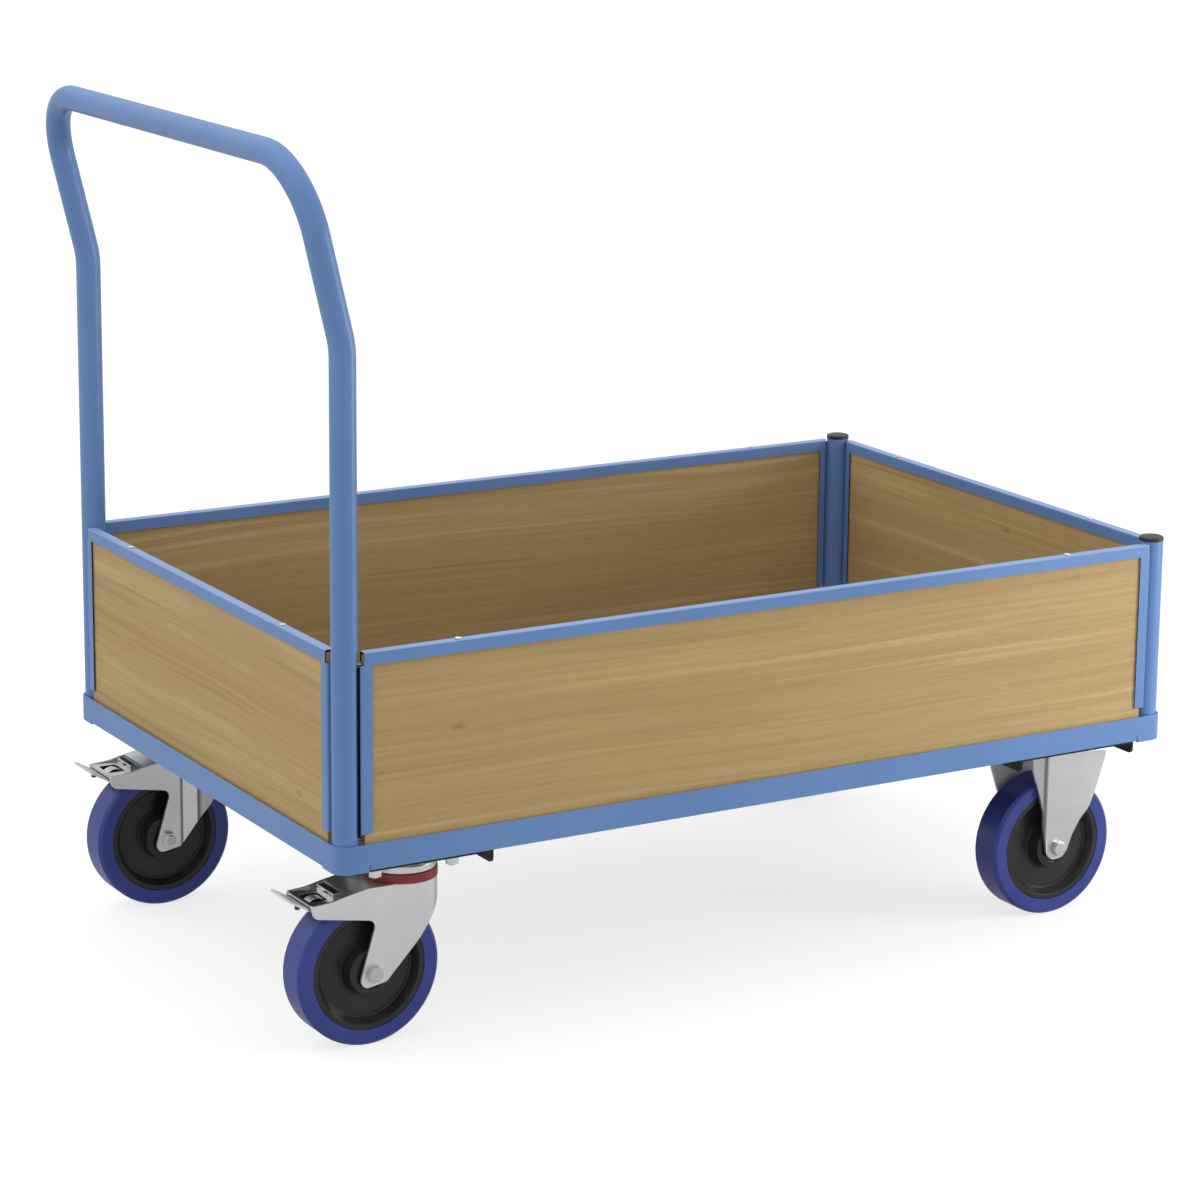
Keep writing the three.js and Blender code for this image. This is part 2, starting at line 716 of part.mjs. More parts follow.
function brakePin() {
  return surface(rodAcross(BRAKE_PIN.radius, -CHEEK_OUT - 1, CHEEK_OUT + 1, BRAKE_PIN.x, BRAKE_PIN.z, 12));
}

function swivelCastor(name) {
  const group = new THREE.Group();
  group.add(piece(name + "_top_plate", swivelTopPlate(), ZINC));
  group.add(piece(name + "_seal_ring", sealRing(), RED_SEAL));
  group.add(piece(name + "_king_bolt", kingBolt(), ZINC));
  group.add(piece(name + "_fork", swivelFork(), ZINC));
  group.add(piece(name + "_brake_plate", brakePlate(), ZINC));
  group.add(piece(name + "_brake_pedal", brakePedal(), ZINC));
  group.add(piece(name + "_brake_shoe", brakeShoe(), SHOE_BLACK));
  group.add(piece(name + "_brake_pin", brakePin(), ZINC));
  const roller = wheel(name);
  roller.position.x = -TRAIL;
  group.add(roller);
  return group;
}

// ---- Fixed castor -------------------------------------------------------------------------------

// In the castor's own frame the axle is above the origin and the bolt head is at -Y. One cheek is the
// other turned half round about the upright line through FORK_MIDDLE; each has its back edge bent in.
const FORK_MIDDLE = 2.8;
const CHEEK_FRONT = 63.5;
const CHEEK_BACK = -33;
const BEND_X = -18.8;
const BEND_DROP = 7.7;

function fixedFork() {
  const side = outline([
    [CHEEK_BACK, FAR],
    [CHEEK_BACK, 188],
    [-32.3, 175],
    [-27.7, 155],
    [-24.7, 142, 30],
    [-20.7, 122, 30],
    [-20.5, 106, 30],
    [-14.8, 72, 12],
    [-7, WHEEL_R - 12.5, 10],
    [6, WHEEL_R - 12.5, 12],
    [13, 76, 8],
    [19, 92, 40],
    [30, 110, 40],
    [42, 122, 30],
    [50, 141, 30],
    [63, 180, 30],
    [CHEEK_FRONT, FAR],
  ]);
  const out = -CHEEK_OUT;
  const skew = 0.88; // the sheet keeps its thickness across the bent edge
  const strip = outline([
    [CHEEK_FRONT + 1, out],
    [BEND_X, out],
    [CHEEK_BACK - 0.3, out + BEND_DROP],
    [CHEEK_BACK + 1.1, out + BEND_DROP + CHEEK_SHEET * skew],
    [BEND_X + 0.7, out + CHEEK_SHEET],
    [CHEEK_FRONT + 1, out + CHEEK_SHEET],
  ]);
  const cheek = surface(upright(strip, 0, PLATE_TOP).intersect(across(side, -FAR, FAR)));
  const halfTurn = (geometry) => geometry.clone().rotateZ(Math.PI).translate(2 * FORK_MIDDLE, 0, 0);
  const half = [
    [CHEEK_BACK, out + BEND_DROP],
    [BEND_X, out],
    [CHEEK_FRONT, out],
  ];
  const otherHalf = half.map(([x, y]) => [2 * FORK_MIDDLE - x, -y]);
  const top = upright(outline([...half, ...otherHalf]), PLATE_TOP - CHEEK_SHEET, PLATE_TOP);
  const body = join(solid(cheek), solid(halfTurn(cheek)), top);
  return surface(cut(body, rodAcross(AXLE_R + GAP, -FAR, FAR, 0, WHEEL_R)));
}

function fixedCastor(name) {
  const group = new THREE.Group();
  group.add(piece(name + "_fork", fixedFork(), ZINC));
  group.add(wheel(name));
  return group;
}

// ---- Assembly -----------------------------------------------------------------------------------

const trolley = new THREE.Group();
trolley.add(piece("platform_frame", platformFrame(), BLUE_PAINT));
trolley.add(piece("deck_board", deckBoard(), DECK_BROWN));
trolley.add(piece("swivel_end_beam", crossBeam(SWIVEL_BEAM_X, [SWIVEL_BEAM_X[1]]), BEAM_BLACK));
trolley.add(piece("fixed_end_beam", crossBeam(FIXED_BEAM_X, FIXED_BEAM_X), BEAM_BLACK));
trolley.add(piece("push_handle", pushHandle(), BLUE_PAINT));

const LONG_SCREW_X = 377;
const END_SCREW_X = 190;
const WALLS = [
  { name: "near_wall", halfSpan: POST_X, screwX: LONG_SCREW_X, x: 0, y: -POST_Y, turn: 0 },
  { name: "far_wall", halfSpan: POST_X, screwX: LONG_SCREW_X, x: 0, y: POST_Y, turn: Math.PI },
  { name: "handle_end_wall", halfSpan: POST_Y, screwX: END_SCREW_X, x: -POST_X, y: 0, turn: -Math.PI / 2 },
  { name: "open_end_wall", halfSpan: POST_Y, screwX: END_SCREW_X, x: POST_X, y: 0, turn: Math.PI / 2 },
];
// Whether a wall's left and right ends, seen from outside, stand beside the handle.
const BESIDE_HANDLE = {
  near_wall: [true, false],
  far_wall: [false, true],
  handle_end_wall: [true, true],
  open_end_wall: [false, false],
};
WALLS.forEach(({ name, halfSpan, screwX, x, y, turn }) => {
  const group = wall(name, halfSpan, screwX, BESIDE_HANDLE[name]);
  group.position.set(x, y, 0);
  group.rotation.z = turn;
  trolley.add(group);
});

[["near", -1], ["far", 1]].forEach(([side, sign]) => {
  const post = piece(side + "_corner_post", cornerPost(), BLUE_PAINT);
  const cap = piece(side + "_post_cap", postCap(), CAP_BLACK);
  [post, cap].forEach((mesh) => mesh.position.set(POST_X, sign * POST_Y, 0));
  trolley.add(post, cap);

  // The castors of the far side are mirror images of the near ones, so the bolt heads face outwards.
  const swivel = swivelCastor(side + "_swivel");
  const fixed = fixedCastor(side + "_fixed");
  swivel.position.set(SWIVEL_X, sign * CASTOR_Y, 0);
  fixed.position.set(FIXED_X, sign * CASTOR_Y, 0);
  [swivel, fixed].forEach((castor) => castor.scale.set(1, -sign, 1));
  trolley.add(swivel, fixed);
});

// The handle's grip bar is the rearmost point and the frame the foremost one.
trolley.position.x = (HANDLE_LEAN + TUBE_R - FRAME_OUT) / 2;

const part = new THREE.Group();
part.add(trolley);
export default part;
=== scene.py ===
import math

import bmesh
import bpy
from mathutils import Matrix, Vector


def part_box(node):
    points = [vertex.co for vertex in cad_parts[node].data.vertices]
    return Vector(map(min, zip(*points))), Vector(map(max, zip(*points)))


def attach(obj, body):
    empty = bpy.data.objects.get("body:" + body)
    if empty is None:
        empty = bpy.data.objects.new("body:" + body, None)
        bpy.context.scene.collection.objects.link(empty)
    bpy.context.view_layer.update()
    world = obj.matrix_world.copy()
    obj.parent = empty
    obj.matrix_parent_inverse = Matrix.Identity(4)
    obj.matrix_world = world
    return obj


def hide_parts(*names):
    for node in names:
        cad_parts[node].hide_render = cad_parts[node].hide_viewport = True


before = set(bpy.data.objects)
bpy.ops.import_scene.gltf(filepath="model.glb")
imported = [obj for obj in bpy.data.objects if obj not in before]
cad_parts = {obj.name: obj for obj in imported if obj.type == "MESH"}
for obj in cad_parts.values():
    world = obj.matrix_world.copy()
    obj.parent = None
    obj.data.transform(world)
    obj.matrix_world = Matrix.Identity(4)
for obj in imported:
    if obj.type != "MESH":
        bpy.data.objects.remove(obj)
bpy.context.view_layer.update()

MM = 0.001


def node_box(node):
    low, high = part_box(node)
    return low / MM, high / MM


# ---- Places, read from the frame ----

frame_low, frame_high = node_box("platform_frame")
SHIFT = (frame_low.x + frame_high.x) / 2
post_low, post_high = node_box("near_corner_post")
TUBE_R = (post_high.x - post_low.x) / 2
POST_X = (post_low.x + post_high.x) / 2 - SHIFT
POST_Y = -(post_low.y + post_high.y) / 2
POST_TOP = post_high.z
FRAME_OUT = frame_high.y - POST_Y
FRAME_TOP = frame_high.z
CUP_BOTTOM = frame_low.z
FRAME_SIDE_BOTTOM = CUP_BOTTOM + 2  # the corner cups hang this much lower
DECK_BOTTOM, DECK_TOP = (corner.z for corner in node_box("deck_board"))
WALL_TOP = node_box("near_wall_trim")[1].z
SIDE_RAIL_BOTTOM = node_box("near_wall_trim")[0].z
GRIP_Z = node_box("push_handle")[1].z - TUBE_R
GRIP_X = node_box("push_handle")[0].x + TUBE_R - SHIFT
CASTOR_Y = -sum(corner.y for corner in node_box("near_fixed_rim")) / 2
FIXED_X = sum(corner.x for corner in node_box("near_fixed_rim")) / 2 - SHIFT
SEAL_LOW, SEAL_HIGH = node_box("near_swivel_seal_ring")
SWIVEL_X = (SEAL_LOW.x + SEAL_HIGH.x) / 2 - SHIFT
TRAIL = SWIVEL_X - (sum(corner.x for corner in node_box("near_swivel_rim")) / 2 - SHIFT)

# ---- Sizes ----

GAP = 0.3  # between pieces that stand against each other
FAR = 900  # past the box on every side
WALL_OUT = 13.6  # from a post's axis to a wall's outer face
WALL_END = 11.2  # from a post's axis to a wall's end
TRIM_THICK = 11.4  # a channel, from its outer to its inner face
TRIM_SHEET = 0.8
TOP_RAIL_HIGH = 13
SHORT_AT_HANDLE = 4  # from a side rail's outer side to the top rail's open end, beside the handle
SHORT_AT_POST = 1  # the same beside a corner post
SIDE_RAIL_WIDE = 13
PANEL_INSET = 4.7  # from a wall's end to the slot for its panel
PANEL_DOWN = 2.5  # from a wall's top to that slot
LONG_SCREW_X = 377  # from a long wall's middle to the screws in its top rail
END_SCREW_X = 190  # the same on an end wall
WHEEL_R = 80
CHEEK_OUT = 30  # from a castor's middle to its fork's outer faces
CHEEK_SHEET = 3
AXLE_BORE = 6.3
KING_BORE = 8.3
ACROSS = 2 * CHEEK_OUT  # past both cheeks
BELOW, ABOVE = 100, 300  # past a castor's crown and plate
UNDER_RAIL = WALL_TOP - TOP_RAIL_HIGH
WALL_MIDDLE = -WALL_OUT + TRIM_THICK / 2

# ---- Mesh building ----

QUARTER = math.pi / 2
ARC_STEP = math.radians(6)
SMALL_ARC_STEP = math.radians(15)
MERGE_DISTANCE = 0.01
SHARP = 35  # degrees between two faces from which their edge gets rounded


def outline(corners, closed=True, step=ARC_STEP):
    """Points through corners (x, y) or (x, y, radius); a corner with a radius becomes an arc."""
    points = []
    count = len(corners)
    for i, corner in enumerate(corners):
        here = Vector(corner[:2])
        radius = corner[2] if len(corner) > 2 else 0
        if not radius or (not closed and i in (0, count - 1)):
            points.append(here)
            continue
        back = (Vector(corners[i - 1][:2]) - here).normalized()
        ahead = (Vector(corners[(i + 1) % count][:2]) - here).normalized()
        half = math.acos(max(-1, min(1, back.dot(ahead)))) / 2
        centre = here + (back + ahead).normalized() * (radius / math.sin(half))
        spoke = here + back * (radius / math.tan(half)) - centre
        turn = (math.pi - 2 * half) * (-1 if back.cross(ahead) > 0 else 1)
        steps = max(1, round(abs(turn) / step))
        for k in range(steps + 1):
            points.append(centre + Matrix.Rotation(turn * k / steps, 2) @ spoke)
    return points


def as_object(name, bm):
    mesh = bpy.data.meshes.new(name)
    bm.to_mesh(mesh)
    bm.free()
    obj = bpy.data.objects.new(name, mesh)
    bpy.context.scene.collection.objects.link(obj)
    return obj


PLANES = {
    "xy": lambda u, v, w: (u, v, w),
    "xz": lambda u, v, w: (u, w, v),
    "yz": lambda u, v, w: (w, u, v),
}


def prism(points, plane, low, high):
    """The outline in a plane, run from low to high along the third axis."""
    bm = bmesh.new()
    place_point = PLANES[plane]
    base = [bm.verts.new(place_point(p[0], p[1], low)) for p in points]
    top = [bm.verts.new(place_point(p[0], p[1], high)) for p in points]
    bm.faces.new(base)
    bm.faces.new(list(reversed(top)))
    for i in range(len(points)):
        j = (i + 1) % len(points)
        bm.faces.new((base[j], base[i], top[i], top[j]))
    bmesh.ops.recalc_face_normals(bm, faces=bm.faces)
    return as_object("prism", bm)


def block(x, y, z):
    return prism([(x[0], y[0]), (x[1], y[0]), (x[1], y[1]), (x[0], y[1])], "xy", z[0], z[1])


def lathe(profile, segments, axis, at=(0, 0, 0)):
    """A closed profile of (radius, offset) turned about an axis through a point."""
    bm = bmesh.new()
    centre = Vector(at)
    rings = []
    for radius, offset in profile:
        if radius < 1e-6:
            position = (0, offset, 0) if axis == "y" else (0, 0, offset)
            rings.append([bm.verts.new(centre + Vector(position))])
            continue
        ring = []
        for k in range(segments):
            a = 2 * math.pi * (k + 0.5) / segments
            c, s = radius * math.cos(a), radius * math.sin(a)
            position = (c, offset, s) if axis == "y" else (c, s, offset)
            ring.append(bm.verts.new(centre + Vector(position)))
        rings.append(ring)
    for a, b in zip(rings, rings[1:] + rings[:1]):
        if len(a) == 1 and len(b) == 1:
            continue
        for k in range(segments):
            n = (k + 1) % segments
            corners = [a[k % len(a)], a[n % len(a)], b[n % len(b)], b[k % len(b)]]
            bm.faces.new(list(dict.fromkeys(corners)))
    bmesh.ops.recalc_face_normals(bm, faces=bm.faces)
    return as_object("lathe", bm)


def rod(radius, low, high, axis, at=(0, 0, 0), segments=32, soft=0.0):
    """A cylinder along an axis, its rims chamfered if soft is given."""
    profile = [(0, low), (radius - soft, low), (radius, low + soft), (radius, high - soft),
               (radius - soft, high), (0, high)]
    if not soft:
        profile = [(0, low), (radius, low), (radius, high), (0, high)]
    return lathe(profile, segments, axis, at)


def hexagon(radius, centre=(0, 0), turn=0):
    """The corners of a hexagon, turned by some degrees."""
    angles = [math.radians(60 * k + turn) for k in range(6)]
    return [(centre[0] + radius * math.cos(a), centre[1] + radius * math.sin(a)) for a in angles]


def both_sides(half):
    """Corners (x, y, ...) followed by their mirror images across y = 0."""
    return [*half, *((p[0], -p[1], *p[2:]) for p in reversed(half))]


def evaluate(obj):
    """Replaces the object's mesh with the result of its modifiers."""
    bpy.context.view_layer.update()
    graph = bpy.context.evaluated_depsgraph_get()
    mesh = bpy.data.meshes.new_from_object(obj.evaluated_get(graph))
    obj.modifiers.clear()
    obj.data = mesh


def combine(operation, body, tools):
    for tool in tools:
        modifier = body.modifiers.new("combine", "BOOLEAN")
        modifier.operation = operation
        modifier.solver = "EXACT"
        modifier.object = tool
        evaluate(body)
        bpy.data.objects.remove(tool)
    return body


def cut(body, *tools):
    return combine("DIFFERENCE", body, tools)


def join(body, *tools):
    return combine("UNION", body, tools)


def common(body, *tools):
    return combine("INTERSECT", body, tools)


def merge(*objects):
    """One object of several separate meshes."""
    bm = bmesh.new()
    for obj in objects:
        bm.from_mesh(obj.data)
        bpy.data.objects.remove(obj)
    return as_object("merged", bm)


def soften(obj, width, segments=2, angle=SHARP):
    """Cleans the mesh and rounds the edges sharper than the angle."""
    bm = bmesh.new()
    bm.from_mesh(obj.data)
    bmesh.ops.remove_doubles(bm, verts=bm.verts, dist=MERGE_DISTANCE)
    bmesh.ops.dissolve_degenerate(bm, dist=MERGE_DISTANCE / 2, edges=bm.edges)
    bm.to_mesh(obj.data)
    bm.free()
    modifier = obj.modifiers.new("soft_edges", "BEVEL")
    modifier.width = width
    modifier.segments = segments
    modifier.limit_method = "ANGLE"
    modifier.angle_limit = math.radians(angle)
    modifier.use_clamp_overlap = True
    modifier.miter_outer = "MITER_ARC"
    evaluate(obj)
    return obj


def round_edges(obj, picked, width, segments):
    """Rounds the sharp edges whose two ends are both picked."""
    bm = bmesh.new()
    bm.from_mesh(obj.data)
    bmesh.ops.remove_doubles(bm, verts=bm.verts, dist=MERGE_DISTANCE)
    edges = [e for e in bm.edges if len(e.link_faces) == 2 and all(picked(v.co) for v in e.verts)
             and e.calc_face_angle() > math.radians(SHARP)]
    bmesh.ops.bevel(bm, geom=edges, offset=width, offset_type="OFFSET", segments=segments,
                    profile=0.5, affect="EDGES", clamp_overlap=True)
    bm.to_mesh(obj.data)
    bm.free()


def settle(obj, name, body, material, replaces=(), at=(0, 0), mirror=False, sharp=32):
    """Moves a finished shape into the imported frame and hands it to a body."""
    bm = bmesh.new()
    bm.from_mesh(obj.data)
    side = -1 if mirror else 1
    for vertex in bm.verts:
        x, y, z = vertex.co
        vertex.co = Vector(((x + at[0] + SHIFT) * MM, (side * y + at[1]) * MM, z * MM))
    if mirror:
        bmesh.ops.reverse_faces(bm, faces=bm.faces)
    for face in bm.faces:
        face.smooth = True
    for edge in bm.edges:
        edge.smooth = edge.calc_face_angle(math.pi) < math.radians(sharp)
    bm.to_mesh(obj.data)
    bm.free()
    obj.name = name
    obj.data.name = name
    obj.data.materials.clear()
    obj.data.materials.append(material)
    normals = obj.modifiers.new("even_faces", "WEIGHTED_NORMAL")
    normals.keep_sharp = True
    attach(obj, body)
    if replaces:
        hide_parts(*replaces)
    return obj


# ---- Materials ----


def give(socket, value):
    """Links another node's output to the socket, or sets its value."""
    if isinstance(value, bpy.types.NodeSocket):
        socket.id_data.links.new(value, socket)
    else:
        socket.default_value = value


def add_node(tree, kind, inputs=None, **settings):
    made = tree.nodes.new(kind)
    for key, value in settings.items():
        setattr(made, key, value)
    for key, value in (inputs or {}).items():
        give(made.inputs[key], value)
    return made


class Surface:
    """A material built from nodes."""

    def __init__(self, name, roughness, metallic=0.0, specular=0.5):
        self.material = bpy.data.materials.new(name)
        self.material.use_nodes = True
        self.tree = self.material.node_tree
        self.shader = self.tree.nodes["Principled BSDF"]
        fixed = {"Metallic": metallic, "Specular IOR Level": specular, "Roughness": roughness}
        for key, value in fixed.items():
            give(self.shader.inputs[key], value)
        self.place = self.node("ShaderNodeTexCoord").outputs["Object"]

    def node(self, kind, inputs=None, **settings):
        return add_node(self.tree, kind, inputs, **settings)

    def stretched(self, scale, turn=0.0, shift=(0, 0, 0), source=None):
        return self.node("ShaderNodeMapping", {
            "Vector": source or self.place, "Scale": scale, "Rotation": (0, 0, turn),
            "Location": shift}).outputs["Vector"]

    def noise(self, vector, scale, detail, rough=0.5):
        return self.node("ShaderNodeTexNoise", {
            "Vector": vector, "Scale": scale, "Detail": detail, "Roughness": rough}).outputs["Fac"]

    def span(self, value, low, high, to_low=0.0, to_high=1.0):
        return self.node("ShaderNodeMapRange", {
            "Value": value, "From Min": low, "From Max": high, "To Min": to_low, "To Max": to_high},
            interpolation_type="SMOOTHSTEP").outputs["Result"]

    def math(self, operation, a, b):
        return self.node("ShaderNodeMath", {0: a, 1: b}, operation=operation).outputs[0]

    def mix(self, share, a, b):
        return self.node("ShaderNodeMix", {0: share, 6: a, 7: b}, data_type="RGBA").outputs[2]

    def bump(self, height, depth, strength, under=None):
        inputs = {"Height": height, "Distance": depth, "Strength": strength}
        if under:
            inputs["Normal"] = under
        return self.node("ShaderNodeBump", inputs).outputs["Normal"]

    def edges(self, radius):
        """1 on edges within the radius, 0 on open faces."""
        rounded = self.node("ShaderNodeBevel", {"Radius": radius}, samples=4).outputs["Normal"]
        plain = self.node("ShaderNodeNewGeometry").outputs["Normal"]
        same = self.node("ShaderNodeVectorMath", {0: rounded, 1: plain}, operation="DOT_PRODUCT")
        return self.span(same.outputs["Value"], 0.99, 0.86)

    def finish(self, color, roughness=None, normal=None):
        for key, value in (("Base Color", color), ("Roughness", roughness), ("Normal", normal)):
            if value is not None:
                give(self.shader.inputs[key], value)
        return self.material


def srgb(red, green, blue):
    """A colour given as 0 to 255 display values, as the linear colour that shaders take."""
    def linear(value):
        share = value / 255
        return share / 12.92 if share <= 0.04045 else ((share + 0.055) / 1.055) ** 2.4
    return (linear(red), linear(green), linear(blue), 1.0)


def blue_paint(name, low, high):
    s = Surface(name, 0.34, specular=0.45)
    cloud = s.noise(s.place, 5.0, 3.0)
    color = s.mix(s.span(cloud, 0.3, 0.7), srgb(*low), srgb(*high))
    speck = s.noise(s.place, 900.0, 2.0)
    color = s.mix(s.span(speck, 0.35, 0.65, 0.0, 0.10), color, srgb(128, 164, 222))
    # The rounded edges are mixed lighter in patches.
    lighter_edges = s.math("MULTIPLY", s.edges(0.0012), s.span(s.noise(s.place, 60.0, 4.0), 0.42, 0.62, 0.1, 0.5))
    color = s.mix(lighter_edges, color, srgb(150, 180, 228))
    peel = s.bump(s.noise(s.place, 420.0, 2.0), 0.0002, 0.18)
    peel = s.bump(speck, 0.0001, 0.12, peel)
    return s.finish(color, s.span(cloud, 0.2, 0.8, 0.30, 0.38), peel)


def beech(name, turn, seed):
    """Beech decor with the grain along X, or along Y when turned a quarter."""
    s = Surface(name, 0.5, specular=0.3)
    along = s.stretched((1, 1, 1), turn, seed)
    slow = s.noise(s.stretched((0.8, 1.0, 2.0), source=along), 1.5, 2.0)
    parts = s.node("ShaderNodeSeparateXYZ", {"Vector": along}).outputs
    sway = s.math("MULTIPLY", s.math("SUBTRACT", slow, 0.5), 0.045)
    lifted = s.math("ADD", parts["Z"], sway)
    flow = s.node("ShaderNodeCombineXYZ", {"X": parts["X"], "Y": parts["Y"], "Z": lifted}).outputs[0]
    bands = s.noise(s.stretched((0.7, 1.0, 26.0), source=flow), 1.0, 3.0, 0.55)
    streaks = s.noise(s.stretched((3.0, 10.0, 210.0), source=flow), 1.0, 3.0, 0.65)
    rays = s.noise(s.stretched((1.2, 1.0, 75.0), shift=(4.0, 0.0, 3.0), source=flow), 1.0, 2.0, 0.5)
    pores = s.noise(s.stretched((60.0, 200.0, 900.0), source=flow), 1.0, 2.0)
    blotch = s.noise(s.stretched((5.0, 1.0, 13.0), source=along), 1.0, 3.0)
    color = s.mix(s.span(bands, 0.30, 0.70), srgb(196, 167, 114), srgb(208, 180, 126))
    color = s.mix(s.span(streaks, 0.38, 0.64, 0.0, 0.42), color, srgb(178, 148, 98))
    color = s.mix(s.span(rays, 0.58, 0.68, 0.0, 0.55), color, srgb(226, 197, 143))
    color = s.mix(s.span(rays, 0.38, 0.31, 0.0, 0.36), color, srgb(162, 131, 84))
    color = s.mix(s.span(blotch, 0.42, 0.70, 0.0, 0.22), color, srgb(184, 155, 106))
    color = s.mix(s.span(pores, 0.52, 0.66, 0.0, 0.18), color, srgb(158, 124, 78))
    cells = s.node("ShaderNodeTexVoronoi", {
        "Vector": s.stretched((6.0, 0.0, 17.0), source=flow), "Scale": 1.0}, feature="F1")
    pick = s.node("ShaderNodeSeparateColor", {"Color": cells.outputs["Color"]}).outputs[0]
    fleck = s.math("MULTIPLY", s.span(cells.outputs["Distance"], 0.09, 0.01), s.span(pick, 0.55, 0.60))
    color = s.mix(s.math("MULTIPLY", fleck, 0.7), color, srgb(112, 82, 48))
    grain = s.bump(streaks, 0.0002, 0.12)
    return s.finish(color, s.span(bands, 0.3, 0.7, 0.54, 0.46), grain)


def deck_brown():
    s = Surface("deck_board_film", 0.5, specular=0.4)
    cloud = s.noise(s.place, 6.0, 4.0)
    color = s.mix(s.span(cloud, 0.3, 0.7), srgb(56, 42, 31), srgb(70, 53, 39))
    wire = s.node("ShaderNodeTexVoronoi", {"Vector": s.place, "Scale": 330.0},
                  feature="F1", distance="CHEBYCHEV")
    wire.inputs["Randomness"].default_value = 0.0
    lines = s.span(wire.outputs["Distance"], 0.30, 0.48)
    color = s.mix(s.math("MULTIPLY", lines, 0.45), color, srgb(36, 27, 20))
    return s.finish(color, s.span(cloud, 0.3, 0.7, 0.42, 0.6), s.bump(lines, 0.0004, 0.35))


def zinc(name, roughness, metallic, light, dark):
    s = Surface(name, roughness, metallic=metallic, specular=0.5)
    cloud = s.noise(s.place, 16.0, 3.0, 0.5)
    brushed = s.noise(s.stretched((90.0, 90.0, 1400.0)), 1.0, 2.0)
    spangle = s.node("ShaderNodeTexVoronoi", {"Vector": s.place, "Scale": 420.0}, feature="F1")
    grain = s.node("ShaderNodeSeparateColor", {"Color": spangle.outputs["Color"]}).outputs[0]
    color = s.mix(s.span(cloud, 0.25, 0.75), srgb(*dark), srgb(*light))
    color = s.mix(s.span(grain, 0.0, 1.0, 0.0, 0.06), color, srgb(232, 233, 236))
    color = s.mix(s.span(brushed, 0.35, 0.7, 0.0, 0.10), color, srgb(160, 162, 166))
    rough = s.math("ADD", s.span(cloud, 0.3, 0.7, roughness - 0.02, roughness + 0.03),
                   s.span(brushed, 0.3, 0.7, -0.01, 0.01))
    return s.finish(color, rough, s.bump(brushed, 0.0001, 0.006))


def moulded(name, low, high, roughness, specular=0.45):
    """Moulded plastic, rubber or painted steel: slow colour changes, fine grain and lighter edges."""
    s = Surface(name, roughness, specular=specular)
    cloud = s.noise(s.place, 26.0, 4.0)
    color = s.mix(s.span(cloud, 0.3, 0.7), srgb(*low), srgb(*high))
    edge_lightening = s.math("MULTIPLY", s.edges(0.0010), 0.22)
    color = s.mix(edge_lightening, color, srgb(*[min(255, 1.35 * c + 14) for c in high]))
    grain = s.noise(s.place, 900.0, 2.0)
    return s.finish(color, s.span(cloud, 0.3, 0.7, roughness - 0.05, roughness + 0.08),
                    s.bump(grain, 0.0001, 0.10))


def tyre_rubber():
    s = Surface("blue_elastic_rubber", 0.34, specular=0.5)
    cloud = s.noise(s.place, 18.0, 4.0)
    color = s.mix(s.span(cloud, 0.3, 0.7), srgb(50, 64, 146), srgb(57, 72, 156))
    dust = s.noise(s.place, 75.0, 5.0, 0.65)
    color = s.mix(s.span(dust, 0.52, 0.80, 0.0, 0.14), color, srgb(100, 106, 152))
    fine = s.noise(s.place, 1100.0, 2.0)
    return s.finish(color, s.span(cloud, 0.3, 0.7, 0.28, 0.40), s.bump(fine, 0.0001, 0.06))


PAINT = blue_paint("blue_powder_coat", (104, 143, 201), (112, 151, 209))
# A lighter copy of the paint for the walls' top faces: a painted highlight.
HIGHLIGHT_PAINT = blue_paint("blue_coat_painted_highlight_on_top", (134, 166, 218), (146, 178, 228))
DECK = deck_brown()
ZINC = zinc("zinc_plate", 0.30, 0.9, (236, 236, 237), (227, 228, 229))
BRIGHT = zinc("bright_zinc", 0.24, 0.9, (238, 238, 239), (224, 225, 227))
POLISHED = zinc("polished_zinc", 0.16, 0.97, (226, 226, 227), (214, 215, 216))
# Darker zinc: on the cheeks' bends a painted dark reflection; the low leg bolts take it too.
DARKENED_ZINC = zinc("zinc_darkened", 0.4, 0.8, (128, 128, 130), (114, 115, 117))
# Zinc beside the bends, half as dark: a painted dark reflection.
PAINTED_HALF_DARK_ZINC = zinc("zinc_painted_half_dark_reflection", 0.4, 0.8, (178, 178, 180), (166, 167, 169))
# A diffuse, near-white copy of the zinc for the cheeks' inner faces, lighter in their shade: painted
# light.
PAINTED_LIGHT_INSIDE_ZINC = zinc("zinc_inside_painted_light", 0.45, 0.2, (238, 238, 239), (228, 229, 230))
# A darker, duller copy of the zinc for the fixed forks and the axle bolts, toning down the lamp's glare:
# painted shade.
SHADED_ZINC = zinc("zinc_plate_painted_shade", 0.34, 0.85, (211, 212, 213), (203, 204, 205))
# Near-white zinc for the swivel cheeks' ramps and the crown's rounded top edge: painted light and a
# painted glint.
PAINTED_LIGHT_ZINC = zinc("zinc_painted_light", 0.28, 0.97, (254, 254, 254), (250, 250, 250))
# Black that stands in for shade: painted shade in the channels' mouths, in gaps and under the brake's
# slot.
PAINTED_SHADE = moulded("painted_shade_black", (12, 11, 11), (20, 18, 17), 0.8, specular=0.1)
BLACK_STEEL = moulded("near_black_beam", (20, 19, 19), (30, 28, 28), 0.42, specular=0.3)
SEAL_RED = moulded("red_seal", (150, 52, 56), (164, 62, 66), 0.45)
TYRE = tyre_rubber()
RIM = moulded("black_rim", (33, 33, 33), (42, 42, 42), 0.30)
CAP = moulded("cap_black", (34, 37, 39), (44, 47, 50), 0.35)
SHOE = moulded("shoe_black", (26, 26, 28), (36, 36, 38), 0.6)

# ---- Frame, deck and beams ----


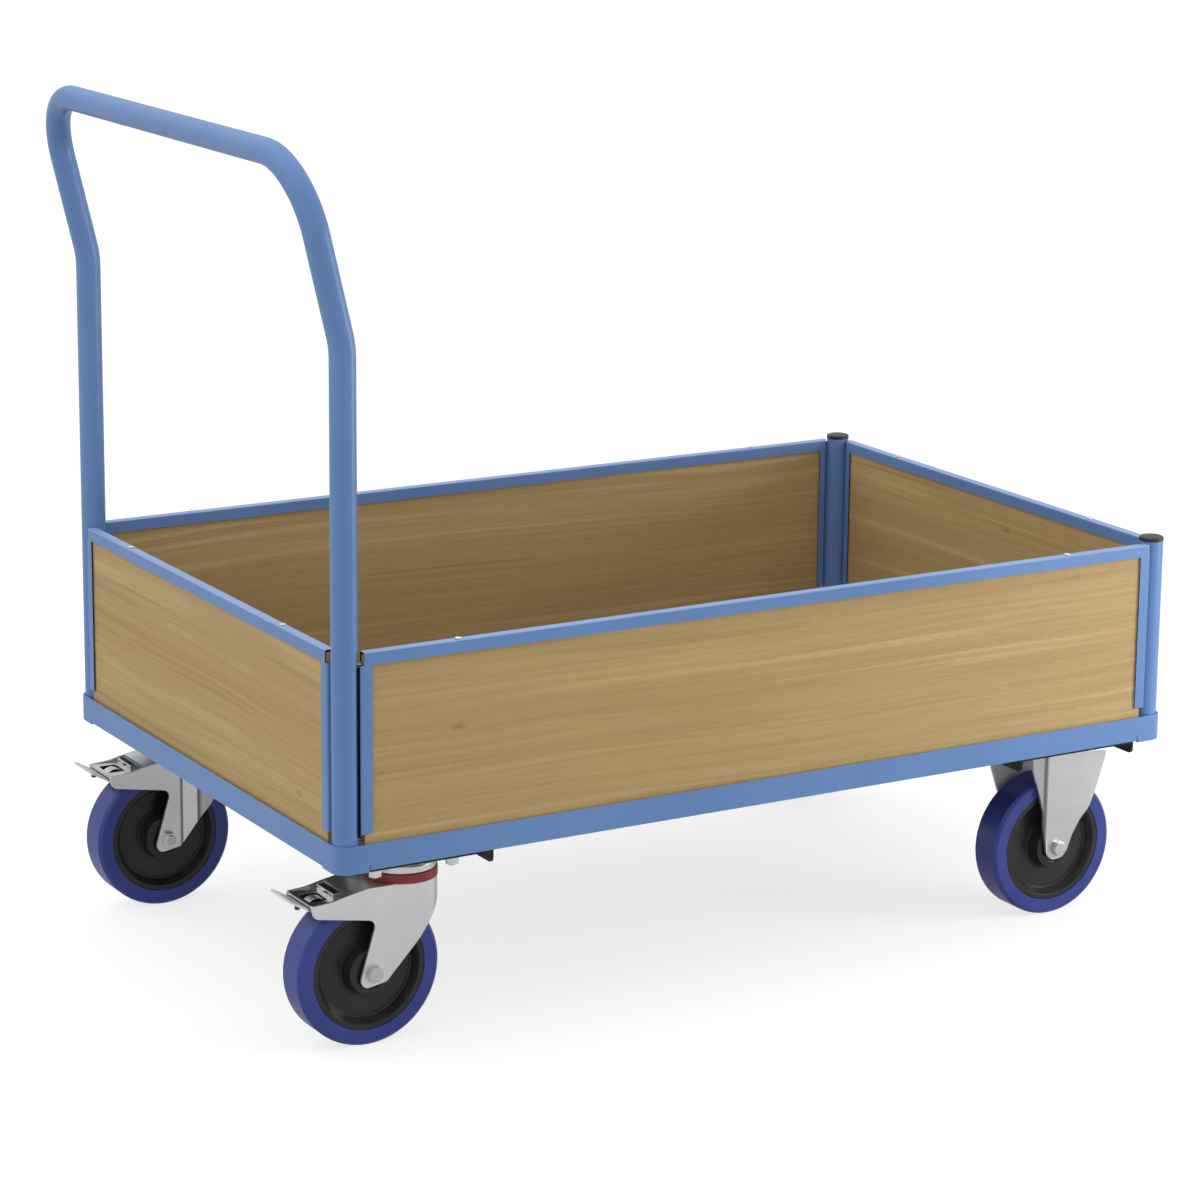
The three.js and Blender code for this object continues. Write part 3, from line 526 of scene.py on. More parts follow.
def ring(grow, low, high, inner_grow):
    """A rounded rectangular ring round the posts; grow is measured from the posts' axes."""
    def loop(out):
        x, y, r = POST_X + out, POST_Y + out, max(out, 1)
        return outline([(-x, -y, r), (x, -y, r), (x, y, r), (-x, y, r)], step=math.radians(5))

    past = 5
    return cut(prism(loop(grow), "xy", low, high), prism(loop(inner_grow), "xy", low - past, high + past))


def platform_frame():
    sheet = 2
    flange_deep = 22
    cup_reach = 20
    wall = ring(FRAME_OUT, CUP_BOTTOM, FRAME_TOP, FRAME_OUT - sheet)
    flange = ring(FRAME_OUT - sheet / 2, CUP_BOTTOM, FRAME_SIDE_BOTTOM + sheet, FRAME_OUT - flange_deep)
    body = join(wall, flange)
    side_x, side_y = POST_X - cup_reach, POST_Y - cup_reach
    body = cut(body,
               block((-side_x, side_x), (-FAR, FAR), (0, FRAME_SIDE_BOTTOM)),
               block((-FAR, FAR), (-side_y, side_y), (0, FRAME_SIDE_BOTTOM)))
    slit = 0.9
    slit_top = FRAME_SIDE_BOTTOM + 5.5
    for x in (-side_x, side_x):
        body = cut(body, block((x - slit, x), (-FAR, FAR), (0, slit_top)))
    for y in (-side_y, side_y):
        body = cut(body, block((-FAR, FAR), (y - slit / 2, y + slit / 2), (0, slit_top)))
    soften(body, 0.55, 2)
    settle(body, "pressed_frame", "trolley", PAINT, ["platform_frame"])


def beams():
    """A beam is a web inside a low rim, with one or two deep flanges that show under the frame."""
    sheet = 3
    end_sheet = 2
    rim_bottom = 191.2
    web_bottom = 195
    for node in ("swivel_end_beam", "fixed_end_beam"):
        low, high = node_box(node)
        x0, x1 = low.x - SHIFT, high.x - SHIFT
        top, half = high.z, high.y
        inside = ((x0 + sheet, x1 - sheet), (-half + end_sheet, half - end_sheet))
        beam = block((x0, x1), (-half, half), (rim_bottom, top))
        beam = cut(beam, block(*inside, (0, web_bottom)), block(*inside, (web_bottom + sheet, FAR)))
        flange = outline([(-half, low.z, 5), (half, low.z, 5), (half, top), (-half, top)])
        edges = [x1 - sheet] if node.startswith("swivel") else [x0, x1 - sheet]
        for x in edges:
            beam = join(beam, prism(flange, "yz", x, x + sheet))
        soften(beam, 0.5, 2)
        settle(beam, "cross_" + node, "trolley", BLACK_STEEL, [node])


def deck():
    edge = FRAME_OUT - 2.3
    x, y = POST_X + edge, POST_Y + edge
    board = prism(outline([(-x, -y, edge), (x, -y, edge), (x, y, edge), (-x, y, edge)]),
                  "xy", DECK_BOTTOM, DECK_TOP)
    hole = TUBE_R + 0.6
    past = 40
    for sx in (-1, 1):
        for sy in (-1, 1):
            inner_x, inner_y = sx * (POST_X - hole), sy * (POST_Y - hole)
            outer_x, outer_y = sx * (POST_X + past), sy * (POST_Y + past)
            corner = outline([(inner_x, inner_y, hole - 1), (outer_x, inner_y), (outer_x, outer_y),
                              (inner_x, outer_y)])
            board = cut(board, prism(corner, "xy", 0, FAR))
    soften(board, 0.4, 1)
    settle(board, "deck_panel", "trolley", DECK, ["deck_board"])


# ---- Tubes ----


def bent_path(corners, step=math.radians(4)):
    """Stations (point, direction) along straight runs and arcs through corners (point, radius)."""
    first, last = corners[0][0], corners[-1][0]
    stations = [(first, (corners[1][0] - first).normalized())]
    for i in range(1, len(corners) - 1):
        here, radius = corners[i]
        arriving = (here - corners[i - 1][0]).normalized()
        leaving = (corners[i + 1][0] - here).normalized()
        turn = arriving.angle(leaving)
        axis = arriving.cross(leaving).normalized()
        start = here - arriving * (radius * math.tan(turn / 2))
        spoke = -axis.cross(arriving) * radius
        centre = start - spoke
        steps = max(2, round(turn / step))
        for k in range(steps + 1):
            spin = Matrix.Rotation(turn * k / steps, 3, axis)
            stations.append((centre + spin @ spoke, spin @ arriving))
    stations.append((last, (last - corners[-2][0]).normalized()))
    return stations


def pipe(stations, radius, segments):
    """A round bar through the stations; its seam doesn't twist."""
    bm = bmesh.new()
    side = stations[0][1].orthogonal().normalized()
    rings = []
    for point, tangent in stations:
        side = (side - tangent * side.dot(tangent)).normalized()
        other = tangent.cross(side)
        ring_verts = []
        for k in range(segments):
            a = 2 * math.pi * k / segments
            ring_verts.append(bm.verts.new(point + radius * (math.cos(a) * side + math.sin(a) * other)))
        rings.append(ring_verts)
    for a, b in zip(rings, rings[1:]):
        for k in range(segments):
            n = (k + 1) % segments
            bm.faces.new((a[k], a[n], b[n], b[k]))
    bm.faces.new(list(reversed(rings[0])))
    bm.faces.new(rings[-1])
    bmesh.ops.recalc_face_normals(bm, faces=bm.faces)
    return as_object("pipe", bm)


def push_handle():
    bend_z, bend_r, corner_r = 734, 95, 75

    def leg(sign):
        return [(Vector((-POST_X, sign * POST_Y, DECK_BOTTOM)), 0),
                (Vector((-POST_X, sign * POST_Y, bend_z)), bend_r),
                (Vector((GRIP_X, sign * POST_Y, GRIP_Z)), corner_r)]

    corners = leg(-1) + list(reversed(leg(1)))
    tube = pipe(bent_path(corners), TUBE_R, 56)
    settle(tube, "handle_tube", "trolley", PAINT, ["push_handle"], sharp=50)


def corner_posts():
    bore = TUBE_R - 2
    rim = 0.4
    brim = POST_TOP + GAP
    cap_r = TUBE_R + 0.3
    for side, sign in (("near", -1), ("far", 1)):
        at = (POST_X, sign * POST_Y, 0)
        wall = [(bore, DECK_BOTTOM), (TUBE_R, DECK_BOTTOM), (TUBE_R, POST_TOP - rim),
                (TUBE_R - rim, POST_TOP), (bore, POST_TOP)]
        tube = lathe(wall, 64, "z", at)
        settle(tube, side + "_front_post", "trolley", PAINT, [side + "_corner_post"])
        low, high = node_box(side + "_post_cap")
        profile = outline([(0, low.z), (bore - GAP, low.z), (bore - GAP, brim), (cap_r, brim, 0.3),
                           (cap_r, high.z - 1.2, 0.8), (cap_r - 1.6, high.z, 1.4), (0, high.z)],
                          closed=False, step=SMALL_ARC_STEP)
        cap = lathe(profile, 64, "z", at)
        settle(cap, side + "_tube_cap", "trolley", CAP, [side + "_post_cap"])


# ---- Walls ----

FOLD = 1.6  # outer radius of the folded channels
FOLD_STEP = math.radians(22)


def shifted(obj, x=0.0, y=0.0, z=0.0):
    obj.data.transform(Matrix.Translation((x, y, z)))
    return obj


def turned(obj, quarter_turns):
    obj.data.transform(Matrix.Rotation(quarter_turns * QUARTER, 4, "Z"))
    return obj


def channel(end, left_end, right_end):
    """The folded steel over a wall's top and ends, and for each of its faces whether it gets painted
    shade.
    """
    inner = end - SIDE_RAIL_WIDE
    face = [(-end, SIDE_RAIL_BOTTOM), (-inner, SIDE_RAIL_BOTTOM), (-inner, UNDER_RAIL),
            (inner, UNDER_RAIL), (inner, SIDE_RAIL_BOTTOM), (end, SIDE_RAIL_BOTTOM),
            (end, UNDER_RAIL), (right_end, UNDER_RAIL), (right_end, WALL_TOP),
            (left_end, WALL_TOP), (left_end, UNDER_RAIL), (-end, UNDER_RAIL)]
    out, back = -WALL_OUT, -WALL_OUT + TRIM_THICK
    past, over = 5, 600
    trim = prism(face, "xz", out, back)
    across = [(out, 0), (back, 0), (back, WALL_TOP, FOLD), (out, WALL_TOP, FOLD)]
    trim = common(trim, prism(outline(across, step=FOLD_STEP), "yz", -end - past, end + past))
    level = [(-end, out, FOLD), (end, out, FOLD), (end, back), (-end, back)]
    trim = common(trim, prism(outline(level, step=FOLD_STEP), "xy", 0, over))

    sheet = TRIM_SHEET
    hollow = (out + sheet, back - sheet)
    trim = cut(trim, block((-end + PANEL_INSET, end - PANEL_INSET), hollow, (0, WALL_TOP - PANEL_DOWN)))
    mouth_deep = 9
    cut_back_from, cut_back_deep = out + 4.5, 5.8
    for sign in (-1, 1):
        # The folded sheet is open at the top rail's end and at both ends of the upright.
        mouth = sorted((sign * (end - mouth_deep), sign * (end + past)))
        foot = sorted((sign * (end - sheet), sign * (end - PANEL_INSET - 1)))
        trim = cut(trim, block(mouth, hollow, (UNDER_RAIL, WALL_TOP - sheet)),
                   block(foot, hollow, (0, UNDER_RAIL + 1)))
        # Its end is cut back where it meets the round tube.
        wide = end + 30
        wedge = [(sign * end, cut_back_from), (sign * (end - cut_back_deep), back + 1),
                 (sign * wide, back + 1), (sign * wide, cut_back_from)]
        trim = cut(trim, prism(wedge, "xy", 0, over))
    soften(trim, 0.2, 1, 50)

    slack = 0.05

    def gets_painted_shade(face):
        """Painted shade: inside the channel's open ends, and on a side rail's edge beside the panel."""
        x, (_, y, z) = abs(face.center.x), face.center
        if abs(x - inner) < 0.3 and abs(face.normal.x) > 0.7:
            return True
        if not hollow[0] - slack < y < hollow[1] + slack or z > WALL_TOP - sheet + slack:
            return False
        return end - mouth_deep - 0.1 < x < end - 0.1 and (z > UNDER_RAIL or x < end - sheet + slack)

    return trim, [gets_painted_shade(face) for face in trim.data.polygons]


def shade_strip(end, sign):
    """A black strip of painted shade in the gap between a long wall and the handle's leg."""
    x = sorted((sign * (end + 0.1), sign * (end + 2.5)))
    return block(x, (-12.0, -10.6), (SIDE_RAIL_BOTTOM - 3, UNDER_RAIL - 1.5))


def painted_lip(half_span, sign, beside_handle):
    """A strip deep in the gap, against the tube; beside a post it is taller, and wider at its foot."""
    deep = (-5.6, -3.4)
    bottom = DECK_TOP + 0.5
    top = UNDER_RAIL if beside_handle else WALL_TOP - 2
    lip = block(sorted((sign * (half_span - 14.3), sign * (half_span - 13.1))), deep, (bottom, top))
    if beside_handle:
        return lip
    foot = sorted((sign * (half_span - WALL_END - PANEL_INSET + 0.5), sign * (half_span - 14.5)))
    return merge(lip, block(foot, deep, (bottom, SIDE_RAIL_BOTTOM - 0.4)))


def leg_bolt(end, sign, z):
    """A small bolt into the handle's leg, its head towards the wall's middle."""
    shank = rod(1.5, 0, 7, "y", segments=20)
    head = rod(2.4, -1.6, 0.2, "y", segments=24, soft=0.7)
    return shifted(turned(merge(shank, head), -sign), sign * (end - 1.8), WALL_MIDDLE + 0.6, z)


def wall(name, half_span, screw_x, at, quarter_turns, beside_handle, wood):
    """A wall along local x, its outer face towards -y, turned and then set down.

    beside_handle tells whether its left and right ends, seen from outside, meet the handle.
    """
    end = half_span - WALL_END

    def place(obj, piece, material, slot, *nodes):
        return settle(turned(obj, quarter_turns), name + piece, "trolley", material, nodes, at)

    short = [SHORT_AT_HANDLE if beside else SHORT_AT_POST for beside in beside_handle]
    trim, dark = channel(end, -end + short[0], end - short[1])
    place(trim, "_channel", PAINT, "blue_paint", name + "_trim")
    trim.data.materials.append(PAINTED_SHADE)
    trim.data.materials.append(HIGHLIGHT_PAINT)
    # Faces in painted shade take the black.
    for face, gets_painted_shade in zip(trim.data.polygons, dark):
        # Faces on top of the wall take the lighter paint: a painted highlight.
        on_top = face.normal.z > 0.3 and face.center.z / MM > WALL_TOP - FOLD
        face.material_index = 1 if gets_painted_shade else 2 * on_top

    ends = list(zip((-1, 1), ("_left_", "_right_"), beside_handle))
    at_leg = [(sign, where) for sign, where, beside in ends if beside and half_span == POST_X]
    for sign, where, beside in ends:
        # Beside the handle's leg the gap gets the black strip of painted shade.
        if (sign, where) in at_leg:
            strip, finish, slot = shade_strip(end, sign), PAINTED_SHADE, "black_rubber"
        else:
            strip, finish, slot = painted_lip(half_span, sign, beside), PAINT, "blue_paint"
        place(soften(strip, 0.2, 2), where + "gap_strip", finish, slot)

    panel_end = end - PANEL_INSET - GAP
    set_back = TRIM_SHEET + 1.3  # the panel's faces lie this deep behind the channel's
    board = block((-panel_end, panel_end), (-WALL_OUT + set_back, -WALL_OUT + TRIM_THICK - set_back),
                  (DECK_TOP + GAP, WALL_TOP - PANEL_DOWN - GAP))
    place(soften(board, 0.5, 2), "_board", wood, "beech", name + "_panel")

    for letter, x in (("a", -screw_x), ("b", screw_x)):
        screw = shifted(pan_screw(), x, WALL_MIDDLE)
        place(screw, "_pan_screw_" + letter, BRIGHT, "zinc", name + "_screw_" + letter)

    # The low bolts take the darkened zinc.
    levels = (("high", UNDER_RAIL + 0.5, BRIGHT), ("low", SIDE_RAIL_BOTTOM - 6, DARKENED_ZINC))
    for sign, where in at_leg:
        for level, z, finish in levels:
            place(leg_bolt(end, sign, z), where + level + "_bolt", finish, "zinc")


def pan_screw():
    shank_r, head_r, long = 1.8, 3.4, 12
    seat = WALL_TOP + 0.2
    top = seat + 2.0
    profile = outline([(0, WALL_TOP - long), (shank_r, WALL_TOP - long), (shank_r, seat),
                       (head_r, seat, 0.2), (head_r, seat + 1.1, 0.8), (1.9, top, 1.2), (0, top)],
                      closed=False, step=SMALL_ARC_STEP)
    screw = lathe(profile, 32, "z")
    for turn in (0, 1):
        slot = block((-1.5, 1.5), (-0.35, 0.35), (top - 1.0, top + 1.0))
        screw = cut(screw, turned(slot, turn))
    return screw


# ---- Wheels ----


def wheel(name, body, x, mirror, at):
    """Tyre and rim about the Y axis through (x, WHEEL_R)."""
    centre = (x, 0, WHEEL_R)
    inner, shoulder = 63.1, WHEEL_R - 3.5
    half_wide, tread = 20, 16.5
    half = [(inner, -half_wide, 0.4), (shoulder, -half_wide, 2.2), (WHEEL_R, -tread, 2.2)]
    tyre = lathe(outline(both_sides(half), step=SMALL_ARC_STEP), 160, "y", centre)
    settle(tyre, name + "_rubber_tyre", body, TYRE, [name + "_tyre"], at, mirror)

    # From the rim's edge over its flange and web to the hub's face and the bearing.
    half = [(62.8, 19.5, 0.5), (57.5, 19.5, 0.7), (51.8, 10.5, 0.8), (50.1, 10.5, 0.4), (49.5, 9.5),
            (29.6, 9.5), (29.0, 10.5, 0.4), (27.6, 10.5, 0.5), (24.2, 25, 1.0),
            (17.5, 25, 0.4), (17.5, 23.6, 0.4), (7.2, 23.6)]
    rim = lathe(outline(both_sides(half), step=SMALL_ARC_STEP), 128, "y", centre)
    settle(rim, name + "_moulded_rim", body, RIM, [name + "_rim"], at, mirror)


def hex_head(radius, low, high, centre):
    """A hexagon along Y, its corners cut by a cone at the low end."""
    body = prism(hexagon(radius, (centre[0], centre[2])), "xz", centre[1] + low, centre[1] + high)
    flat = radius * math.cos(math.radians(30))
    cone = lathe([(0, low), (flat - 0.3, low), (radius + 1, low + 1), (radius + 1, high + 1),
                  (0, high + 1)], 48, "y", centre)
    return common(body, cone)


def axle(name, body, x, mirror, at):
    """The bolt's head is outside the cheek at -Y, the nut outside the other cheek."""
    seat = -CHEEK_OUT
    centre = (x, 0, WHEEL_R)
    hex_r = 8.7
    head = hex_head(hex_r, seat - 6.1, seat - 0.2, centre)
    shank = rod(6, seat - 1.8, CHEEK_OUT + 7.5, "y", centre, 32, 0.8)
    settle(merge(head, shank), name + "_hex_bolt", body, SHADED_ZINC, [name + "_axle_bolt"],
           at, mirror)
    nut = hex_head(hex_r, seat - 6.2, seat - 0.2, centre)
    nut.data.transform(Matrix.Scale(-1, 4, (0, 1, 0)))
    nut.data.flip_normals()
    settle(nut, name + "_lock_nut", body, ZINC, [name + "_axle_nut"], at, mirror)


# ---- Swivel castor ----

CROWN_TOP = 171.2
CROWN_SHEET = 3.2
CROWN_FRONT = 33.7
CROWN_DROP_X = -52.5
CROWN_BACK = -74
ARM_END = -116.5
ARM_TOP = 161.8
ARM_BOTTOM = 136
INNER_CHEEK_OUT = 25.5  # the cheeks' front part is pressed in this far
PRESSING = (-30, -7)  # between these the cheeks run inwards
PIVOT = (-70, 0, 161.3)  # of the brake lever


def add_finishes(obj, finishes):
    """Further materials, which a face picks by index 1, 2, ..."""
    for finish in finishes:
        obj.data.materials.append(finish)


def swivel_fork(name, body_name, mirror, at):
    def plan(sheet):
        y, pressed, front = CHEEK_OUT - sheet, INNER_CHEEK_OUT - sheet, CROWN_FRONT - sheet
        return outline([(-200, -y), (front, -y, 20 - sheet), (front, pressed, 16 - sheet),
                        (PRESSING[1], pressed, 34), (PRESSING[0], y, 22), (-200, y)],
                       step=math.radians(1.8))

    side = outline([(CROWN_FRONT + 1, CROWN_TOP), (CROWN_DROP_X, CROWN_TOP, 40), (-77, 167, 60),
                    (-95, 163, 60), (ARM_END, ARM_TOP, 2), (ARM_END + 3.5, 148.3, 7),
                    (-43, ARM_BOTTOM, 8), (-TRAIL - 15, WHEEL_R - 6, 8),
                    (-TRAIL - 11.4, WHEEL_R - 15.4, 8), (-TRAIL + 14.6, WHEEL_R - 10.5, 8),
                    (6.4, 110, 30), (16, 124, 30), (CROWN_FRONT + 1, 152)])
    body = common(prism(plan(0), "xy", 0, ABOVE), prism(side, "xz", -ACROSS, ACROSS))
    round_edges(body, lambda v: v.z > CROWN_TOP - 0.1 and v.x > -60, 2.4, 5)
    under = CROWN_TOP - CROWN_SHEET
    hollow = outline([(200, 0), (200, under), (CROWN_DROP_X, under), (CROWN_BACK, 164),
                      (CROWN_BACK, ABOVE), (-200, ABOVE), (-200, 0)])
    inside = common(prism(plan(CHEEK_SHEET), "xy", -1, ABOVE + 20), prism(hollow, "xz", -50, 50))
    body = cut(body, inside, rod(AXLE_BORE, -ACROSS, ACROSS, "y", (-TRAIL, 0, WHEEL_R)),
               rod(KING_BORE, BELOW, ABOVE, "z"))
    soften(body, 0.6, 3, 38)
    fork = settle(body, name + "_pressed_fork", body_name, ZINC, [name + "_fork"], at, mirror)
    add_finishes(fork, (PAINTED_LIGHT_ZINC, DARKENED_ZINC, PAINTED_LIGHT_INSIDE_ZINC, PAINTED_HALF_DARK_ZINC))
    ramp, dark_reflection, inside, half_dark_reflection = 1, 2, 3, 4
    inwards = -1 if mirror else 1
    for face in fork.data.polygons:
        centre, normal = face.center / MM, face.normal
        local_x = centre.x - at[0] - SHIFT
        local_y = (centre.y - at[1]) * inwards
        # The crown's rounded top edge takes the near-white zinc: a painted glint.
        if centre.z > CROWN_TOP - 3 and 0.3 < normal.z < 0.97 and local_x > CROWN_DROP_X:
            face.material_index = ramp
        # The cheek on the inner side: its lean tells the flat sheet from the bends and the ramp, which get
        # a painted dark reflection and painted light.
        if local_y < INNER_CHEEK_OUT - 1 or abs(normal.z) > 0.05 or local_x < PRESSING[0] - 4:
            continue
        lean = abs(normal.x)
        if 0.17 < lean < 0.3 and local_x < 0:
            face.material_index = ramp
        elif 0.07 < lean <= 0.17 and local_x < 0:
            face.material_index = dark_reflection
        elif 0.005 < lean <= 0.07 and local_x < 0:
            face.material_index = half_dark_reflection
        # Flat inner faces past the pressing take the lightened zinc: painted light.
        elif local_x > PRESSING[1] - 2 and lean <= 0.005:
            face.material_index = inside

    # The crown's raised bearing seat shows as a bright ring under the seal.
    low, high = CROWN_TOP - 0.1, CROWN_TOP + 0.25
    seat = lathe(outline([(24, low), (37.2, low), (36.4, high, 0.1), (24, high)],
                         step=math.radians(20)), 96, "z")
    settle(seat, name + "_bearing_seat", body_name, BRIGHT, (), at, mirror)


def swivel_bearing(name, mirror, at):
    """The fixed upper half: top plate, race, seal and king bolt."""
    step = math.radians(18)
    seal_r, seal_bore = 37.5, 22
    seal = lathe(outline([(seal_bore, SEAL_LOW.z), (seal_r, SEAL_LOW.z, 0.8), (seal_r, SEAL_HIGH.z, 0.8),
                          (seal_bore, SEAL_HIGH.z)], step=step), 128, "z")
    settle(seal, name + "_dust_seal", "trolley", SEAL_RED, [name + "_seal_ring"], at, mirror)

    top = node_box(name + "_top_plate")[1].z
    low, race_top = SEAL_HIGH.z + GAP, top - 3.2
    race_r = 36
    race = lathe(outline([(KING_BORE, low), (race_r, low, 0.6), (race_r, low + 7, 1.2),
                          (race_r - 4, race_top, 0.6), (KING_BORE, race_top)], step=step), 128, "z")
    x, y, corner_r, thick = 52, 35, 8, 4
    plate = prism(outline([(-x, -y, corner_r), (x, -y, corner_r), (x, y, corner_r), (-x, y, corner_r)]),
                  "xy", top - thick, top)
    plate = cut(plate, rod(KING_BORE, BELOW, ABOVE, "z"))
    soften(plate, 0.4, 2)
    settle(merge(race, plate), name + "_plate_and_race", "trolley", ZINC,
           [name + "_top_plate"], at, mirror)

    head_top = CROWN_TOP - CROWN_SHEET - GAP
    shank = rod(KING_BORE - GAP, head_top - 1, top - 1, "z")
    head = soften(prism(hexagon(13), "xy", head_top - 7, head_top), 0.6, 2)
    settle(merge(shank, head), name + "_centre_bolt", "trolley", BRIGHT,
           [name + "_king_bolt"], at, mirror)


def plate_bolts(name, mirror, at, spots):
    """Nuts with washers and bolt ends under the castor's top plate."""
    under = 190.7
    for number, (x, y) in enumerate(spots, 1):
        washer = rod(7.8, under - 1.5, under - 0.1, "z", (x, y, 0), 36, 0.25)
        nut = prism(hexagon(7.4, (x, y), 12), "xy", under - 8.0, under - 1.4)
        soften(nut, 0.5, 2)
        end = rod(3.9, under - 9.6, under - 7.8, "z", (x, y, 0), 24, 0.5)
        settle(merge(washer, nut, end), "_".join((name, "plate_nut", str(number))), "trolley",
               BRIGHT, (), at, mirror)


def brake(name, castor, lever, mirror, at):
    half_wide = CHEEK_OUT - CHEEK_SHEET - GAP
    plate = prism(outline([(ARM_END + 1, -half_wide, 2), (-76.5, -half_wide), (-76.5, half_wide),
                           (ARM_END + 1, half_wide, 2)]), "xy", 159, ARM_TOP)
    slot = prism(outline([(-110.5, -15, 2), (-90.5, -15, 2), (-90.5, 13, 2), (-110.5, 13, 2)]),
                 "xy", BELOW, ABOVE)
    plate = soften(cut(plate, slot), 0.4, 2)
    clamp = soften(block((-87, -77.5), (-18.5, 18.5), (160.5, 168)), 0.9, 3)
    settle(merge(plate, clamp), name + "_brake_cover", castor, POLISHED,
           [name + "_brake_plate"], at, mirror)
    # A black inset on the clamp's top: a painted dark reflection.
    dark_top = soften(block((-85.4, -79.1), (-16.6, 16.6), (167.5, 168.25)), 0.15, 2)
    settle(dark_top, name + "_clamp_painted_dark_reflection", castor, SHOE, (), at, mirror)
    # A black plate under the slot: painted shade.
    base = block((-112, -89), (-22, 22), (157.6, 158.7))
    settle(soften(base, 0.2, 2), name + "_slot_painted_shade", castor, PAINTED_SHADE, (), at, mirror)

    # The leaf spring bulges up through the slot.
    rise = [(-108.5, 159.2), (-104, 161.6), (-100, 162.6), (-96, 162.2), (-92, 160.4)]
    lower = [(x, z - 1.0) for x, z in reversed(rise)]
    spring = soften(prism([Vector(p) for p in rise + lower], "xz", -8, 5), 0.25, 2, 50)
    settle(spring, name + "_leaf_spring", castor, BRIGHT, (), at, mirror)

    pin = rod(2, -CHEEK_OUT + 1, CHEEK_OUT - 1, "y", PIVOT, 24, 0.4)
    settle(pin, name + "_pivot_pin", castor, BRIGHT, [name + "_brake_pin"], at, mirror)

    # The lever: a bent strip from the pivot to the foot pedal, wider and rounded at its tip.
    wide, sheet = 24, 2.4
    tip, root = Vector((-137, 168.7)), Vector((-112.5, 155))
    slope = math.atan2(tip.y - root.y, root.x - tip.x)
    normal = Vector((math.sin(slope), math.cos(slope))) * (sheet / 2)
    shift = sheet / 2 * math.tan(slope / 2)
    strip = outline([tuple(tip + normal), tuple(tip - normal), (root.x - shift, root.y - sheet / 2, 4),
                     (-93, 154.4, 10), (-77, 156.3, 8), (-70, 159), (-70, 162.5), (-77.5, 158.3, 6),
                     (-93, 156.8, 12), (root.x + shift, root.y + sheet / 2, 6)])
    rounded = prism(outline([(-138.2, -wide, 7), (-55, -wide), (-55, wide), (-138.2, wide, 7)]),
                    "xy", BELOW, ABOVE)
    body = common(prism(strip, "xz", -wide, wide), rounded)
    body = join(body, rod(3.2, -wide, wide, "y", PIVOT, 24))
    body = cut(body, rod(2.3, -ACROSS, ACROSS, "y", PIVOT, 24))
    soften(body, 0.5, 2)
    stud_r, stud_low, stud_high = 2.8, 153.2, 157.0
    stud = lathe(outline([(0, stud_low), (stud_r, stud_low, 1.1), (stud_r, stud_high), (0, stud_high)],
                         closed=False), 32, "z", (-120.5, -6, 0))
    settle(stud, name + "_lever_stud", lever, TYRE, (), at, mirror)
    settle(body, name + "_foot_lever", lever, ZINC, [name + "_brake_pedal"], at, mirror)

    shoe = block((-101, -91), (-15, 15), (WHEEL_R, 153.5))
    released = 6  # from the shoe to the tread
    shoe = cut(shoe, rod(WHEEL_R + released, -ACROSS, ACROSS, "y", (-TRAIL, 0, WHEEL_R), 160))
    soften(shoe, 0.6, 2)
    settle(shoe, name + "_rubber_shoe", lever, SHOE, [name + "_brake_shoe"], at, mirror)


def swivel_castor(side, sign):
    name = side + "_swivel"
    mirror = sign > 0
    at = (SWIVEL_X, sign * CASTOR_Y)
    castor = name + "_castor"
    swivel_fork(name, castor, mirror, at)
    swivel_bearing(name, mirror, at)
    plate_bolts(name, mirror, at, [(x, y) for x in (-44, 44) for y in (-27.5, 27.5)])
    brake(name, castor, name + "_brake", mirror, at)
    wheel(name, name + "_wheel", -TRAIL, mirror, at)
    axle(name, castor, -TRAIL, mirror, at)


# ---- Fixed castor ----

FORK_MIDDLE = 2.8  # along X from the axle, where the two cheeks' half turn has its axis


